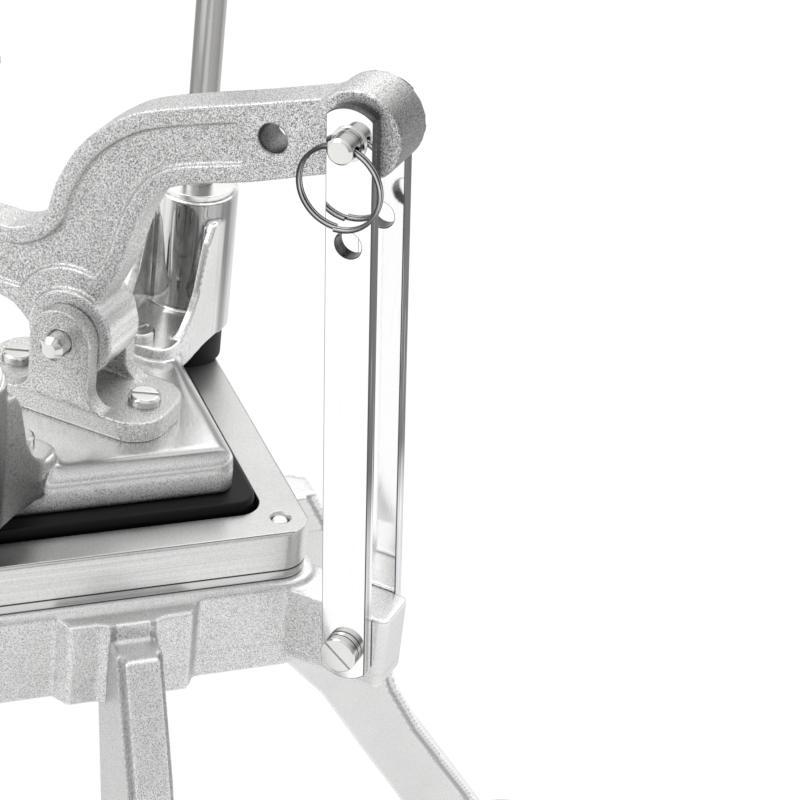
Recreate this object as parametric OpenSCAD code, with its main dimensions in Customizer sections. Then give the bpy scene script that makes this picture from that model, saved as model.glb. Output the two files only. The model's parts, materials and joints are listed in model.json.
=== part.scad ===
// Lever french fry cutter: a square cutting frame set cornerwise under a hand lever.
// Lengths are in millimetres. +X is the rear (link) side, -X the handle side, +Z is up.
// Every piece is drawn about the cutting axis and then moved so that the origin lies on
// the table, in the middle of the whole cutter's length and width.

/* [Cutting frame] */
// Side of the square upper frame
frame_side = 148; // [140:1:160]
// Corner radius of the upper frame
frame_corner_r = 12; // [8:1:14]
// Thickness of the upper frame
frame_t = 17; // [12:1:20]
// Side of the opening in the upper frame
opening_side = 117; // [112:1:120]
// Corner radius of that opening
opening_corner_r = 10; // [6:1:12]
// Height of the upper frame's top face above the table
frame_height = 254; // [244:1:280]

/* [Blade cartridge] */
// Visible thickness of the blade holder between the two castings
holder_t = 4; // [3:0.5:6]
// Distance from blade to blade
cell_pitch = 9.6; // [9:0.1:9.8]
// Number of fries cut side by side
cells = 10; // [8:1:10]
// Thickness of one blade
blade_t = 0.8; // [0.6:0.1:1]
// Height of one blade
blade_h = 9; // [7:0.5:9.5]
// Wall of the holder's skirt round the blades
skirt_wall = 6; // [5:0.5:6.5]

/* [Base casting] */
// How far the base stands proud of the plates above it
base_overhang = 3.5; // [2:0.5:5]
// Height of the base's side walls
base_h = 39; // [36:1:42]
// Thickness of the base's side walls
base_wall = 8; // [7:0.5:9]
// Thickness of the deck that carries the blade holder
deck_t = 8; // [6:0.5:9]
// Width of a leg at its inner edge
leg_w = 18; // [16:1:20]
// Width of the flat front of a leg
leg_front_w = 13.5; // [11:0.5:14]
// Distance of a foot's centre from the cutting axis
foot_reach = 214; // [208:1:230]
// Width of the toe plate that a foot is screwed to
toe_w = 30; // [28:1:34]
// Thickness of the toe plate
toe_t = 8; // [6:0.5:9]

/* [Guides] */
// Distance of the guide rods and frame studs from the cutting axis
rod_offset = 89; // [86:0.5:90]
// Diameter of the guide rods
rod_d = 12; // [11:0.5:13]
// Height of the rods above the upper frame
rod_rise = 200; // [199:1:230]
// Outer diameter of the rubber bumpers
bumper_d = 29; // [26:0.5:30]
// Height of the space that the bumpers fill
bumper_h = 15; // [12:0.5:18]

/* [Pusher] */
// Side of the square pusher head
head_side = 98.5; // [94:0.5:100]
// Height of the head's underside above the upper frame
head_lift = 4.2; // [3:0.2:5]
// Thickness of the head plate
head_t = 18; // [16:0.5:20]
// Bevel along the head's top edges
head_bevel = 4.5; // [3:0.5:5]
// Outer diameter of the two guide bosses
boss_d = 33.4; // [31:0.2:34]
// Height of the guide bosses' top above the upper frame
boss_rise = 77; // [70:1:77]
// Height of the screw pads above the head plate
pad_rise = 5; // [4:0.5:6]
// Width of the necks and pads that lead to the guide bosses
neck_w = 32; // [30:0.5:33]
// Side clearance of the pusher block in the frame opening
block_gap = 1.7; // [1:0.1:2.5]
// Thickness of the pusher block's flange
block_t = 17; // [14:0.5:17.5]
// Clearance between a finger and the blades on each side
finger_gap = 0.8; // [0.5:0.1:1]

/* [Linkage] */
// Height of the clevis pin above the upper frame
pivot_rise = 56.5; // [54:0.5:60]
// Distance from the clevis pin back to the link pin
lever_reach = 108; // [106:0.1:111]
// Height of the link pin above the clevis pin
lever_rise = 115.8; // [114:0.1:118]
// Distance of the lower link pivot behind the cutting axis
lug_reach = 127.4; // [125:0.1:130]
// Depth of the lower link pivot below the upper frame's top
lug_drop = 36.6; // [35:0.1:39]
// Width of the two link bars
link_w = 18; // [17:0.5:20]
// Thickness of the link bars
link_t = 6; // [5:0.5:7]
// Distance from the link pin to the second hole
spare_hole_step = 39; // [36:0.5:42]
// Width of the lever's rear boss and of the base lug
link_seat_w = 21; // [20:0.5:22]
// Diameter of both pins and of the shoulder screw
pin_d = 10; // [9.5:0.1:10.2]

/* [Lever] */
// Width of the lever arm
arm_w = 16; // [14:0.5:17]
// Depth of the recess in each side of the arm
arm_recess = 2.5; // [1.5:0.5:3.5]
// Width of the raised rim round the recess
arm_rim = 7; // [6:0.5:8]
// Radius of the lever's rear boss
rear_boss_r = 17; // [15:0.5:17.5]
// Radius of the lever's boss at the clevis pin
pivot_boss_r = 18; // [16:0.5:19]
// Width of the lever's boss at the clevis pin
pivot_boss_w = 22; // [21:0.5:23]
// Diameter of the spare hole in the arm
arm_hole_d = 11; // [10.5:0.5:13]
// Reach of the handle in front of the cutting axis
handle_reach = 268; // [255:1:300]
// Diameter of the round handle shank
shank_d = 16; // [14:0.5:17]
// Outer diameter of the grip
grip_d = 27; // [24:0.5:30]
// Share of the handle's reach that the grip covers
grip_share = 0.455; // [0.41:0.005:0.465]

/* [Clevis bracket] */
// Radius and half width of the two ears
ear_r = 13; // [12:0.5:14]
// Thickness of one ear
ear_t = 7; // [6:0.5:8]
// Thickness of the bracket's base
bracket_t = 8.5; // [7:0.5:10]
// Distance of the bracket screws from the cutting axis
bracket_screw_reach = 28; // [26:0.5:30]
// Radius of the two round screw lobes
lobe_r = 13.5; // [12:0.5:14]

/* [Fasteners] */
// Head diameter of the slotted screws
screw_head_d = 12.5; // [11:0.5:13]
// Head height of the slotted screws
screw_head_h = 3.6; // [3:0.2:4]
// Shank diameter of the slotted screws and studs
screw_d = 6; // [5:0.5:6.5]
// How far the clevis pin's cross hole and ring are turned towards the handle
clevis_ring_turn = 50; // [0:5:60]
// Head diameter of the shoulder screw
pivot_head_d = 14.5; // [13:0.5:16]
// Outer diameter of the split rings
ring_d = 33; // [31:1:34]
// Diameter of the rubber feet
foot_d = 34; // [30:1:36]
// Height of the rubber feet
foot_h = 14; // [10:0.5:18]

/* [Hidden] */
$fn = 64;

// Clearances, overruns and stock small sizes
fit_gap = 0.05;
slip_gap = 0.1;
side_gap = 0.3;
overrun = 1;
edge_break = 1;

// Heights of the main faces above the table
frame_z = frame_height;
holder_z = frame_z - frame_t;
base_z = holder_z - holder_t;
base_floor_z = base_z - base_h;
head_z = frame_z + head_lift;
head_top_z = head_z + head_t;
pad_z = head_top_z + pad_rise;
boss_foot_z = frame_z + bumper_h;
boss_top_z = frame_z + boss_rise;
bracket_z = head_top_z + bracket_t;
pivot_z = frame_z + pivot_rise;
link_z = pivot_z + lever_rise;
lug_z = frame_z - lug_drop;
rod_top_z = frame_z + rod_rise;

// Link bars
link_inner_y = link_seat_w / 2 + side_gap;
link_outer_y = link_inner_y + link_t;
link_len = norm([lug_reach - lever_reach, link_z - lug_z]);
link_lean = atan2(lever_reach - lug_reach, link_z - lug_z);
link_end_r = 0.728 * link_w;
bar_bore_d = pin_d + 2 * slip_gap;

// Clevis bracket
ear_inner_y = pivot_boss_w / 2 + side_gap;
ear_outer_y = ear_inner_y + ear_t;

// Base, legs and feet
base_side = frame_side + 2 * base_overhang;
base_corner_r = frame_corner_r + base_overhang / 2;
base_half = base_side / 2;
base_bevel = 0.7 * base_overhang;
skirt_inner = cells * cell_pitch;
skirt_outer = skirt_inner + 2 * skirt_wall;
skirt_h = 2 * blade_h + edge_break;
corner_boss_r = 1.2 * rod_d;
toe_z = foot_h;
toe_end_r = toe_w / 2;

// The handle's end and the rearmost foot set where the middle of the cutter lies
foot_xy = foot_reach / sqrt(2);
rear_reach = foot_xy + foot_d / 2;
middle_shift = (handle_reach - rear_reach) / 2;

// Leg outline seen from the side: shares of the foot's reach and of the base's underside height
leg_outer_shares = [[0.411, 1.148], [0.466, 1.148], [0.575, 0.923], [0.692, 0.588], [0.756, 0.464],
    [0.879, 0.266], [0.978, 0.103]];
leg_inner_shares = [[0.820, 0.103], [0.712, 0.292], [0.632, 0.424], [0.522, 0.613], [0.407, 0.753],
    [0.346, 0.990], [0.340, 1.170]];

// Lever outline: shares of the distance from the clevis pin to the link pin, back and up
arm_top_shares = [[0.955, 1.115], [0.841, 1.074], [0.603, 0.990], [0.279, 0.880], [0.132, 0.807],
    [-0.010, 0.679], [-0.098, 0.520], [-0.140, 0.390], [-0.247, 0.311], [-0.405, 0.299],
    [-0.736, 0.286], [-1.030, 0.262]];
arm_under_shares = [[1.050, 0.889], [0.891, 0.830], [0.627, 0.726], [0.341, 0.625], [0.236, 0.489],
    [0.172, 0.287], [0.102, 0.135]];
arm_front_under_shares = [[-0.150, -0.060], [-0.229, 0.015], [-0.300, 0.040], [-0.552, 0.073],
    [-1.030, 0.112]];
arm_hole_share = [0.695, 0.896];
shank_height_share = 0.187;
shank_start_share = 0.93;
grip_len = grip_share * handle_reach;
recess_arc_share = 1.45;
recess_end_share = 0.60;

// Gusset rib outline between a screw pad and a guide boss: shares of the rod offset and boss rise
rib_shares = [[0.585, 0.350], [0.640, 0.395], [0.697, 0.460], [0.747, 0.553], [0.775, 0.671],
    [0.809, 0.803], [0.860, 0.895], [0.940, 0.895], [0.940, 0.350]];
rib_t = 4;
neck_start_share = 0.45;
neck_foot_share = 0.68;

// Small hardware
washer_t = 1.5;
nut_h = 8;
nut_across = 17;
thread_d = 10;
thread_len = 13;
thread_hole_d = thread_d + 2 * slip_gap;
pin_ring_end = 8.8;
pin_tip_end = 8;
ring_hole_d = 4.2;
ring_wire = 1.6;
ring_strip = 1;
ring_pitch = 1.5;
ring_loops = 2;
ring_steps = 24;
ring_mean_r = (ring_d - ring_wire) / 2;
ring_stand = 4.6;
pin_washer_d = 1.3 * pin_d;
pin_washer_t = 1;
pivot_nut_across = 13;
pivot_nut_h = 5;
slot_w = 1.6;
foot_screw_d = 6;
foot_nut_across = 10;
foot_nut_h = 5;
foot_rim = 2;
stud_nut_across = 10;
stud_nut_h = 5;
stop_washer_d = 21;
nut_well_d = 22;
nut_seat_z = base_floor_z + thread_len + edge_break;
flange_t = 2.5;
lobe_inset = 2;
lug_tail = 14;
bushing_wall = 2.5;
counterbore_d = 1.45 * screw_d;
stud_sink = 0.8;

cast_tint = [0.78, 0.78, 0.76];
plate_tint = [0.84, 0.84, 0.83];
steel_tint = [0.72, 0.73, 0.74];
bright_tint = [0.88, 0.88, 0.87];
black_tint = [0.08, 0.08, 0.08];
rubber_tint = [0.12, 0.12, 0.12];
bronze_tint = [0.70, 0.52, 0.28];

// Moves a piece from the cutting axis to the cutter's own origin
module placed() translate([middle_shift, 0, 0]) children();

// Points on a smooth curve through the points p, with the given steps between two of them
function between(a, b, c, d, t) =
    0.5 * ((2 * b) + (c - a) * t + (2 * a - 5 * b + 4 * c - d) * t * t
        + (3 * b - a - 3 * c + d) * t * t * t);
function smooth(p, steps) = let (n = len(p) - 1)
    concat([for (i = [0:n - 1], k = [0:steps - 1])
        between(p[max(i - 1, 0)], p[i], p[i + 1], p[min(i + 2, n)], k / steps)], [p[n]]);
// The same path moved sideways, to the left of its direction, by the distance d
function inset(p, d) = let (n = len(p) - 1)
    [for (i = [0:n]) let (v = p[min(i + 1, n)] - p[max(i - 1, 0)], u = v / norm(v))
        p[i] + d * [-u[1], u[0]]];
function backwards(p) = [for (i = [len(p) - 1:-1:0]) p[i]];
function arc_points(c, r, from, to, steps) =
    [for (k = [0:steps]) let (a = from + (to - from) * k / steps) c + r * [cos(a), sin(a)]];
function scaled_points(shares, size) = [for (q = shares) [q[0] * size[0], q[1] * size[1]]];

module rounded_square(side, r) {
    square([side - 2 * r, side], center = true);
    square([side, side - 2 * r], center = true);
    for (sx = [-1, 1], sy = [-1, 1])
        translate([sx, sy] * (side / 2 - r))
            circle(r);
}

// A square slab with rounded corners, standing on its corner as seen along the lever
module cornerwise(side, r, z0, z1) {
    translate([0, 0, z0])
        rotate(45)
            linear_extrude(z1 - z0)
                rounded_square(side, r);
}

// Cuts a bevel of the given width round the top edge of a cornerwise slab
module edge_bevels(side, z, bevel) {
    for (k = [0:3])
        rotate(45 + 90 * k)
            translate([side / 2, 0, z])
                rotate([0, 45, 0])
                    cube([bevel * sqrt(2), side + 2 * bevel, bevel * sqrt(2)], center = true);
}

module upright(d, z0, z1) translate([0, 0, z0]) cylinder(d = d, h = z1 - z0);

// A cylinder along Y from y0 to y1
module crossways(d, y0, y1) translate([0, y0, 0]) rotate([-90, 0, 0]) cylinder(d = d, h = y1 - y0);

module ring(outer_d, inner_d, z0, z1) {
    difference() {
        upright(outer_d, z0, z1);
        upright(inner_d, z0 - overrun, z1 + overrun);
    }
}

// An outline in X and Z, given as a child, made w thick about the plane of the lever
module side_plate(w) rotate([90, 0, 0]) translate([0, 0, -w / 2]) linear_extrude(w) children();

module hex_nut(across, bore, z0, z1) {
    difference() {
        translate([0, 0, z0])
            cylinder(d = across / cos(30), h = z1 - z0, $fn = 6);
        upright(bore, z0 - overrun, z1 + overrun);
    }
}

// A slotted cheese head with its shank, seated at the height z
module slotted_screw(head_d, head_h, shank_d, shank_len, turn, z) {
    difference() {
        union() {
            upright(head_d, z, z + head_h - edge_break);
            translate([0, 0, z + head_h - edge_break])
                cylinder(d1 = head_d, d2 = head_d - 2 * edge_break, h = edge_break);
            upright(shank_d, z - shank_len, z + edge_break);
        }
        rotate(turn)
            translate([0, 0, z + head_h])
                cube([head_d + overrun, slot_w, head_h], center = true);
    }
}

/* Base body */

// One leg, in the frame of its side: +X points outwards from the cutting axis
module leg() {
    size = [foot_reach, base_floor_z];
    outer = scaled_points(leg_outer_shares, size);
    inner = scaled_points(leg_inner_shares, size);
    step = leg_w - leg_front_w;
    side_plate(leg_front_w)
        polygon(concat(outer, inner));
    side_plate(leg_w)
        polygon(concat([for (q = outer) q - [step, 0]], inner));
}

// The stepped block that joins a leg to the side wall, with a sloping shoulder
module leg_root() {
    inner = base_half - base_wall;
    step_1 = base_half + 1.95 * base_overhang;
    step_2 = base_half + 2.4 * base_overhang;
    wide = 1.55 * leg_w;
    mid = 1.3 * leg_w;
    low = 0.7 * leg_w;
    tip = 0.52 * leg_w;
    shoulder = base_z - base_bevel;
    intersection() {
        translate([0, 0, base_floor_z])
            linear_extrude(base_h)
                polygon([[inner, -wide], [base_half, -wide], [step_1, -mid], [step_1, -low],
                    [step_2, -tip], [step_2, tip], [step_1, low], [step_1, mid], [base_half, wide],
                    [inner, wide]]);
        side_plate(2 * wide)
            polygon([[inner, base_floor_z], [step_2, base_floor_z],
                [step_2, shoulder - 0.1 * (step_2 - base_half)], [base_half, shoulder],
                [inner, shoulder]]);
    }
}

module toe() {
    difference() {
        union() {
            upright(toe_w, toe_z, toe_z + toe_t);
            translate([-foot_reach * 0.16, -toe_end_r, toe_z])
                cube([foot_reach * 0.16, toe_w, toe_t]);
        }
        upright(foot_screw_d + 2 * slip_gap, toe_z - overrun, toe_z + toe_t + overrun);
    }
}

// The lug for the lower link pivot, with its rear end rounded
module lug() {
    back = lug_reach + lug_tail;
    top = base_z - base_bevel;
    round_r = 0.15 * link_seat_w;
    low = lug_z - link_w;
    translate([0, 0, low])
        linear_extrude(top - low) {
            translate([base_half, -link_seat_w / 2])
                square([back - round_r - base_half, link_seat_w]);
            translate([base_half, round_r - link_seat_w / 2])
                square([back - base_half, link_seat_w - 2 * round_r]);
            for (s = [-1, 1])
                translate([back - round_r, s * (link_seat_w / 2 - round_r)])
                    circle(round_r);
        }
}

module corner_bosses() {
    intersection() {
        cornerwise(base_side, base_corner_r, base_floor_z, base_z);
        for (k = [0:3])
            rotate(90 * k)
                translate([rod_offset, 0, 0])
                    upright(2 * corner_boss_r, base_floor_z, base_z);
    }
}

module base_casting() {
    deck_z = base_z - deck_t;
    cavity = base_side - 2 * base_wall;
    color(cast_tint) placed() difference() {
        union() {
            difference() {
                cornerwise(base_side, base_corner_r, base_floor_z, base_z);
                edge_bevels(base_side, base_z, base_bevel);
                cornerwise(cavity, base_corner_r / 2, base_floor_z - overrun, deck_z);
            }
            corner_bosses();
            lug();
            for (k = [0:3])
                rotate(45 + 90 * k) {
                    leg_root();
                    leg();
                    translate([foot_reach, 0, 0])
                        toe();
                }
        }
        cornerwise(skirt_outer + 2 * side_gap, edge_break, base_floor_z - overrun, base_z + overrun);
        for (s = [-1, 1]) {
            translate([0, s * rod_offset, 0])
                upright(rod_d + 2 * slip_gap, base_floor_z - overrun, base_z + overrun);
            translate([s * rod_offset, 0, 0])
                upright(screw_d + 2 * slip_gap, base_floor_z - overrun, base_z + overrun);
        }
        for (k = [0:3])
            rotate(90 * k)
                translate([rod_offset, 0, 0])
                    upright(nut_well_d, base_floor_z - overrun, nut_seat_z);
        translate([lug_reach, 0, lug_z])
            crossways(pin_d + 2 * slip_gap, -link_seat_w, link_seat_w);
    }
}

// The middle of the shoulder screw, flush with both faces of the lug
module pivot_shank() {
    color(steel_tint) placed()
        translate([lug_reach, 0, lug_z])
            crossways(pin_d, -link_seat_w / 2, link_seat_w / 2);
}

// The blades run one way in the upper layer and the other way in the lower one
module blade_row(z0, turn, grow) {
    span = skirt_inner + skirt_wall;
    for (i = [1:cells - 1])
        rotate(45 + turn)
            translate([(i - cells / 2) * cell_pitch, 0, z0 + blade_h / 2])
                cube([blade_t + 2 * grow, span + 2 * grow, blade_h + 2 * grow], center = true);
}

upper_blade_z = holder_z - blade_h - edge_break;
lower_blade_z = upper_blade_z - blade_h;

module blade_holder() {
    color(steel_tint) placed() difference() {
        union() {
            cornerwise(frame_side, frame_corner_r, base_z, holder_z);
            cornerwise(skirt_outer, edge_break, holder_z - skirt_h - 2 * edge_break, holder_z);
        }
        cornerwise(skirt_inner, edge_break / 2, base_floor_z, holder_z + overrun);
        blade_row(upper_blade_z, 0, fit_gap);
        blade_row(lower_blade_z, 90, fit_gap);
        for (s = [-1, 1]) {
            translate([0, s * rod_offset, 0])
                upright(rod_d + 2 * slip_gap, base_z - overrun, holder_z + overrun);
            translate([s * rod_offset, 0, 0])
                upright(screw_d + 2 * slip_gap, base_z - overrun, holder_z + overrun);
        }
    }
}

module upper_blades() color(bright_tint) placed() blade_row(upper_blade_z, 0, 0);

module lower_blades() {
    color(bright_tint) placed()
        translate([0, 0, -fit_gap])
            blade_row(lower_blade_z, 90, 0);
}

module upper_frame() {
    color(plate_tint) placed() difference() {
        cornerwise(frame_side, frame_corner_r, holder_z, frame_z);
        edge_bevels(frame_side, frame_z, edge_break);
        cornerwise(opening_side, opening_corner_r, holder_z - overrun, frame_z + overrun);
        for (s = [-1, 1]) {
            translate([0, s * rod_offset, 0])
                upright(rod_d + 2 * slip_gap, holder_z - overrun, frame_z + overrun);
            translate([s * rod_offset, 0, 0]) {
                upright(screw_d + 2 * slip_gap, holder_z - overrun, frame_z + overrun);
                translate([0, 0, frame_z - stud_sink - edge_break])
                    cylinder(d1 = screw_d, d2 = counterbore_d, h = stud_sink + 1.5 * edge_break);
            }
        }
    }
}

stud_low_z = nut_seat_z - washer_t - stud_nut_h - edge_break;

module frame_studs() {
    color(steel_tint) placed()
        for (s = [-1, 1])
            translate([s * rod_offset, 0, 0]) {
                upright(screw_d, stud_low_z, frame_z - stud_sink - edge_break / 2);
                translate([0, 0, frame_z - stud_sink - edge_break / 2])
                    cylinder(d1 = screw_d, d2 = screw_d - edge_break, h = edge_break / 2);
            }
}

module stud_washers() {
    color(steel_tint) placed()
        for (s = [-1, 1])
            translate([s * rod_offset, 0, 0])
                ring(2.4 * screw_d, screw_d + 2 * slip_gap, nut_seat_z - washer_t, nut_seat_z);
}

module stud_nuts() {
    top = nut_seat_z - washer_t;
    color(steel_tint) placed()
        for (s = [-1, 1])
            translate([s * rod_offset, 0, 0])
                hex_nut(stud_nut_across, screw_d + 2 * fit_gap, top - stud_nut_h, top);
}

module guide_rod(s) {
    color(steel_tint) placed()
        translate([0, s * rod_offset, 0]) {
            upright(rod_d, nut_seat_z, rod_top_z);
            upright(thread_d, nut_seat_z - thread_len, nut_seat_z + overrun);
            upright(thread_d, rod_top_z - overrun, rod_top_z + thread_len - edge_break);
        }
}

module left_guide_rod() guide_rod(1);

module right_guide_rod() guide_rod(-1);

module rod_washers() {
    color(steel_tint) placed()
        for (s = [-1, 1])
            translate([0, s * rod_offset, 0])
                ring(nut_well_d - 2 * edge_break, thread_hole_d, nut_seat_z - washer_t, nut_seat_z);
}

module rod_nuts() {
    top = nut_seat_z - washer_t;
    color(steel_tint) placed()
        for (s = [-1, 1])
            translate([0, s * rod_offset, 0])
                hex_nut(nut_across, thread_hole_d, top - nut_h, top);
}

module stop_washers() {
    color(steel_tint) placed()
        for (s = [-1, 1])
            translate([0, s * rod_offset, 0])
                ring(stop_washer_d, thread_hole_d, rod_top_z, rod_top_z + washer_t);
}

// Closed nuts with a domed top on the rods' upper ends
module cap_nuts() {
    low = rod_top_z + washer_t;
    dome_r = 0.46 * nut_across;
    color(bright_tint) placed()
        for (s = [-1, 1])
            translate([0, s * rod_offset, 0])
                difference() {
                    union() {
                        translate([0, 0, low])
                            cylinder(d = nut_across / cos(30), h = nut_h, $fn = 6);
                        translate([0, 0, low + nut_h])
                            intersection() {
                                sphere(dome_r);
                                upright(2 * dome_r, 0, dome_r);
                            }
                    }
                    upright(thread_hole_d, low - overrun, rod_top_z + thread_len);
                }
}

module bumper(s) {
    color(rubber_tint) placed()
        translate([0, s * rod_offset, 0])
            ring(bumper_d, rod_d + 2 * slip_gap, frame_z, boss_foot_z - side_gap);
}

module left_bumper() bumper(1);

module right_bumper() bumper(-1);

module at_feet() {
    for (k = [0:3])
        rotate(45 + 90 * k)
            translate([foot_reach, 0, 0])
                children();
}

module rubber_feet() {
    bore_r = foot_screw_d / 2 + slip_gap;
    well_r = foot_screw_d;
    color(rubber_tint) placed()
        at_feet()
            rotate_extrude()
                polygon([[well_r, 0], [foot_d / 2 - foot_rim, 0], [foot_d / 2, foot_rim],
                    [foot_d / 2 - foot_rim, foot_h], [bore_r, foot_h], [bore_r, foot_h / 2],
                    [well_r, foot_h / 2]]);
}

module foot_screws() {
    head_r = foot_screw_d - edge_break;
    color(steel_tint) placed()
        at_feet() {
            translate([0, 0, foot_h / 2 - foot_screw_d / 2])
                cylinder(r = head_r, h = foot_screw_d / 2);
            upright(foot_screw_d, foot_h / 2 - edge_break, toe_z + toe_t + foot_nut_h + edge_break);
        }
}

module foot_nuts() {
    color(steel_tint) placed()
        at_feet()
            hex_nut(foot_nut_across, foot_screw_d + 2 * fit_gap, toe_z + toe_t, toe_z + toe_t + foot_nut_h);
}

/* Pusher body */

// The screw pad and neck on the side s, from the head plate out to the guide boss
module neck(s) {
    start = neck_start_share * rod_offset;
    foot = neck_foot_share * rod_offset;
    near_boss = rod_offset - bumper_d / 2;
    low = head_z + head_t / 2;
    pad_r = neck_w / 4;
    mirror([0, s < 0 ? 1 : 0, 0])
        intersection() {
            rotate([90, 0, 90])
                translate([0, 0, -neck_w / 2])
                    linear_extrude(neck_w)
                        polygon([[start, low], [foot, low], [near_boss, boss_foot_z],
                            [rod_offset, boss_foot_z], [rod_offset, pad_z], [start, pad_z]]);
            translate([0, 0, head_z]) linear_extrude(pad_z - head_z) {
                translate([-neck_w / 2, start + pad_r])
                    square([neck_w, rod_offset - start]);
                translate([pad_r - neck_w / 2, start])
                    square([neck_w - 2 * pad_r, rod_offset - start]);
                for (k = [-1, 1])
                    translate([k * (neck_w / 2 - pad_r), start + pad_r])
                        circle(pad_r);
            }
        }
}

module gusset_ribs() {
    points = [for (q = rib_shares) [q[0] * rod_offset, frame_z + q[1] * boss_rise]];
    for (s = [0, 1], k = [-1, 1])
        mirror([0, s, 0])
            translate([k * (neck_w - rib_t) / 2, 0, 0])
                rotate([90, 0, 90])
                    translate([0, 0, -rib_t / 2])
                        linear_extrude(rib_t)
                            polygon(points);
}

module pusher_head() {
    bushing_d = rod_d + 2 * slip_gap + 2 * bushing_wall;
    color(plate_tint) placed() difference() {
        union() {
            difference() {
                cornerwise(head_side, 1.5 * head_bevel, head_z, head_top_z);
                edge_bevels(head_side, head_top_z, head_bevel);
            }
            neck(1);
            neck(-1);
            gusset_ribs();
            for (s = [-1, 1])
                translate([0, s * rod_offset, 0])
                    upright(boss_d, boss_foot_z, boss_top_z);
        }
        for (s = [-1, 1]) {
            translate([0, s * rod_offset, 0])
                upright(bushing_d, boss_foot_z - overrun, boss_top_z + overrun);
            translate([0, s * block_screw_reach, 0])
                upright(screw_d + 2 * slip_gap, head_z - overrun, pad_z + overrun);
            translate([s * bracket_screw_reach, 0, 0])
                upright(screw_d + 2 * fit_gap, head_z + head_t / 3, head_top_z + overrun);
        }
    }
}

block_screw_reach = 0.522 * rod_offset;

module guide_bushing(s) {
    outer = rod_d + 2 * bushing_wall;
    color(bright_tint) placed()
        translate([0, s * rod_offset, 0])
            difference() {
                union() {
                    upright(outer, boss_foot_z + side_gap, boss_top_z + flange_t);
                    upright(0.9 * boss_d, boss_top_z, boss_top_z + flange_t);
                }
                upright(rod_d + 2 * slip_gap, boss_foot_z, boss_top_z + flange_t + overrun);
            }
}

module left_guide_bushing() guide_bushing(1);

module right_guide_bushing() guide_bushing(-1);

// The black block that fills the opening, with one finger for each cell of the grid;
// two of its corners are hollowed round the bumpers
module pusher_block() {
    side = opening_side - 2 * block_gap;
    low = head_z - block_t;
    finger_w = cell_pitch - blade_t - 2 * finger_gap;
    finger_low = lower_blade_z - 2 * edge_break;
    color(black_tint) placed() difference() {
        union() {
            cornerwise(side, opening_corner_r - block_gap / 2, low, head_z);
            rotate(45)
                for (i = [0:cells - 1], j = [0:cells - 1])
                    translate([(i + 0.5 - cells / 2) * cell_pitch, (j + 0.5 - cells / 2) * cell_pitch, 0])
                        translate([-finger_w / 2, -finger_w / 2, finger_low])
                            cube([finger_w, finger_w, low - finger_low + edge_break]);
        }
        for (s = [-1, 1]) {
            translate([0, s * block_screw_reach, 0])
                upright(screw_d + 2 * fit_gap, low + block_t / 3, head_z + overrun);
            translate([0, s * rod_offset, 0])
                upright(bumper_d + 4 * side_gap, finger_low, head_z + overrun);
        }
    }
}

module block_screws() {
    color(bright_tint) placed()
        for (s = [-1, 1])
            translate([0, s * block_screw_reach, 0])
                slotted_screw(screw_head_d, screw_head_h, screw_d, pad_z - head_z + block_t / 2,
                    70 * s, pad_z);
}

// Outline of one ear, widened by a fillet where it meets the bracket's base
module ear_outline() {
    flare = 0.6 * ear_r;
    translate([0, pivot_z])
        circle(ear_r);
    translate([-ear_r, head_top_z])
        square([2 * ear_r, pivot_z - head_top_z]);
    difference() {
        translate([-ear_r - flare, bracket_z - edge_break])
            square([2 * (ear_r + flare), flare + edge_break]);
        for (s = [-1, 1])
            translate([s * (ear_r + flare), bracket_z + flare])
                circle(flare);
    }
}

module clevis_bracket() {
    reach = bracket_screw_reach - lobe_inset;
    half_w = ear_outer_y + side_gap;
    color(cast_tint) placed() difference() {
        union() {
            translate([0, 0, head_top_z])
                linear_extrude(bracket_t) {
                    square([2 * (reach + lobe_r), 2 * (half_w - lobe_r)], center = true);
                    square([2 * reach, 2 * half_w], center = true);
                    for (sx = [-1, 1], sy = [-1, 1])
                        translate([sx * reach, sy * (half_w - lobe_r)])
                            circle(lobe_r);
                }
            for (s = [-1, 1])
                translate([0, s * (ear_inner_y + ear_t / 2), 0])
                    side_plate(ear_t)
                        ear_outline();
        }
        translate([0, 0, pivot_z])
            crossways(pin_d + 2 * slip_gap, -2 * ear_outer_y, 2 * ear_outer_y);
        for (s = [-1, 1])
            translate([s * bracket_screw_reach, 0, 0])
                upright(screw_d + 2 * slip_gap, head_top_z - overrun, bracket_z + overrun);
    }
}

module bracket_screws() {
    color(bright_tint) placed()
        for (s = [-1, 1])
            translate([s * bracket_screw_reach, 0, 0])
                slotted_screw(screw_head_d, screw_head_h, screw_d, bracket_t + head_t / 2, 25, bracket_z);
}

// A quick-release pin along Y: its ring end points to -Y, its tip with four detents to +Y
module quick_pin(half_grip, turn = 0) {
    tip_y = half_grip + pin_tip_end;
    end_y = -half_grip - pin_ring_end;
    pin_r = pin_d / 2;
    detent_d = pin_d / 4;
    difference() {
        rotate([-90, 0, 0])
            rotate_extrude()
                polygon([[0, end_y], [pin_r - edge_break, end_y], [pin_r, end_y + edge_break],
                    [pin_r, tip_y - 2 * edge_break], [0.6 * pin_r, tip_y], [0, tip_y]]);
        translate([0, -half_grip - ring_stand, 0])
            rotate([0, 90 + turn, 0])
                upright(ring_hole_d, -pin_d, pin_d);
        for (k = [0:3])
            translate([0, tip_y - 2.5 * edge_break, 0])
                rotate([0, 45 + 90 * k, 0])
                    upright(detent_d, 0.3 * pin_d, pin_d);
    }
}

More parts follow.
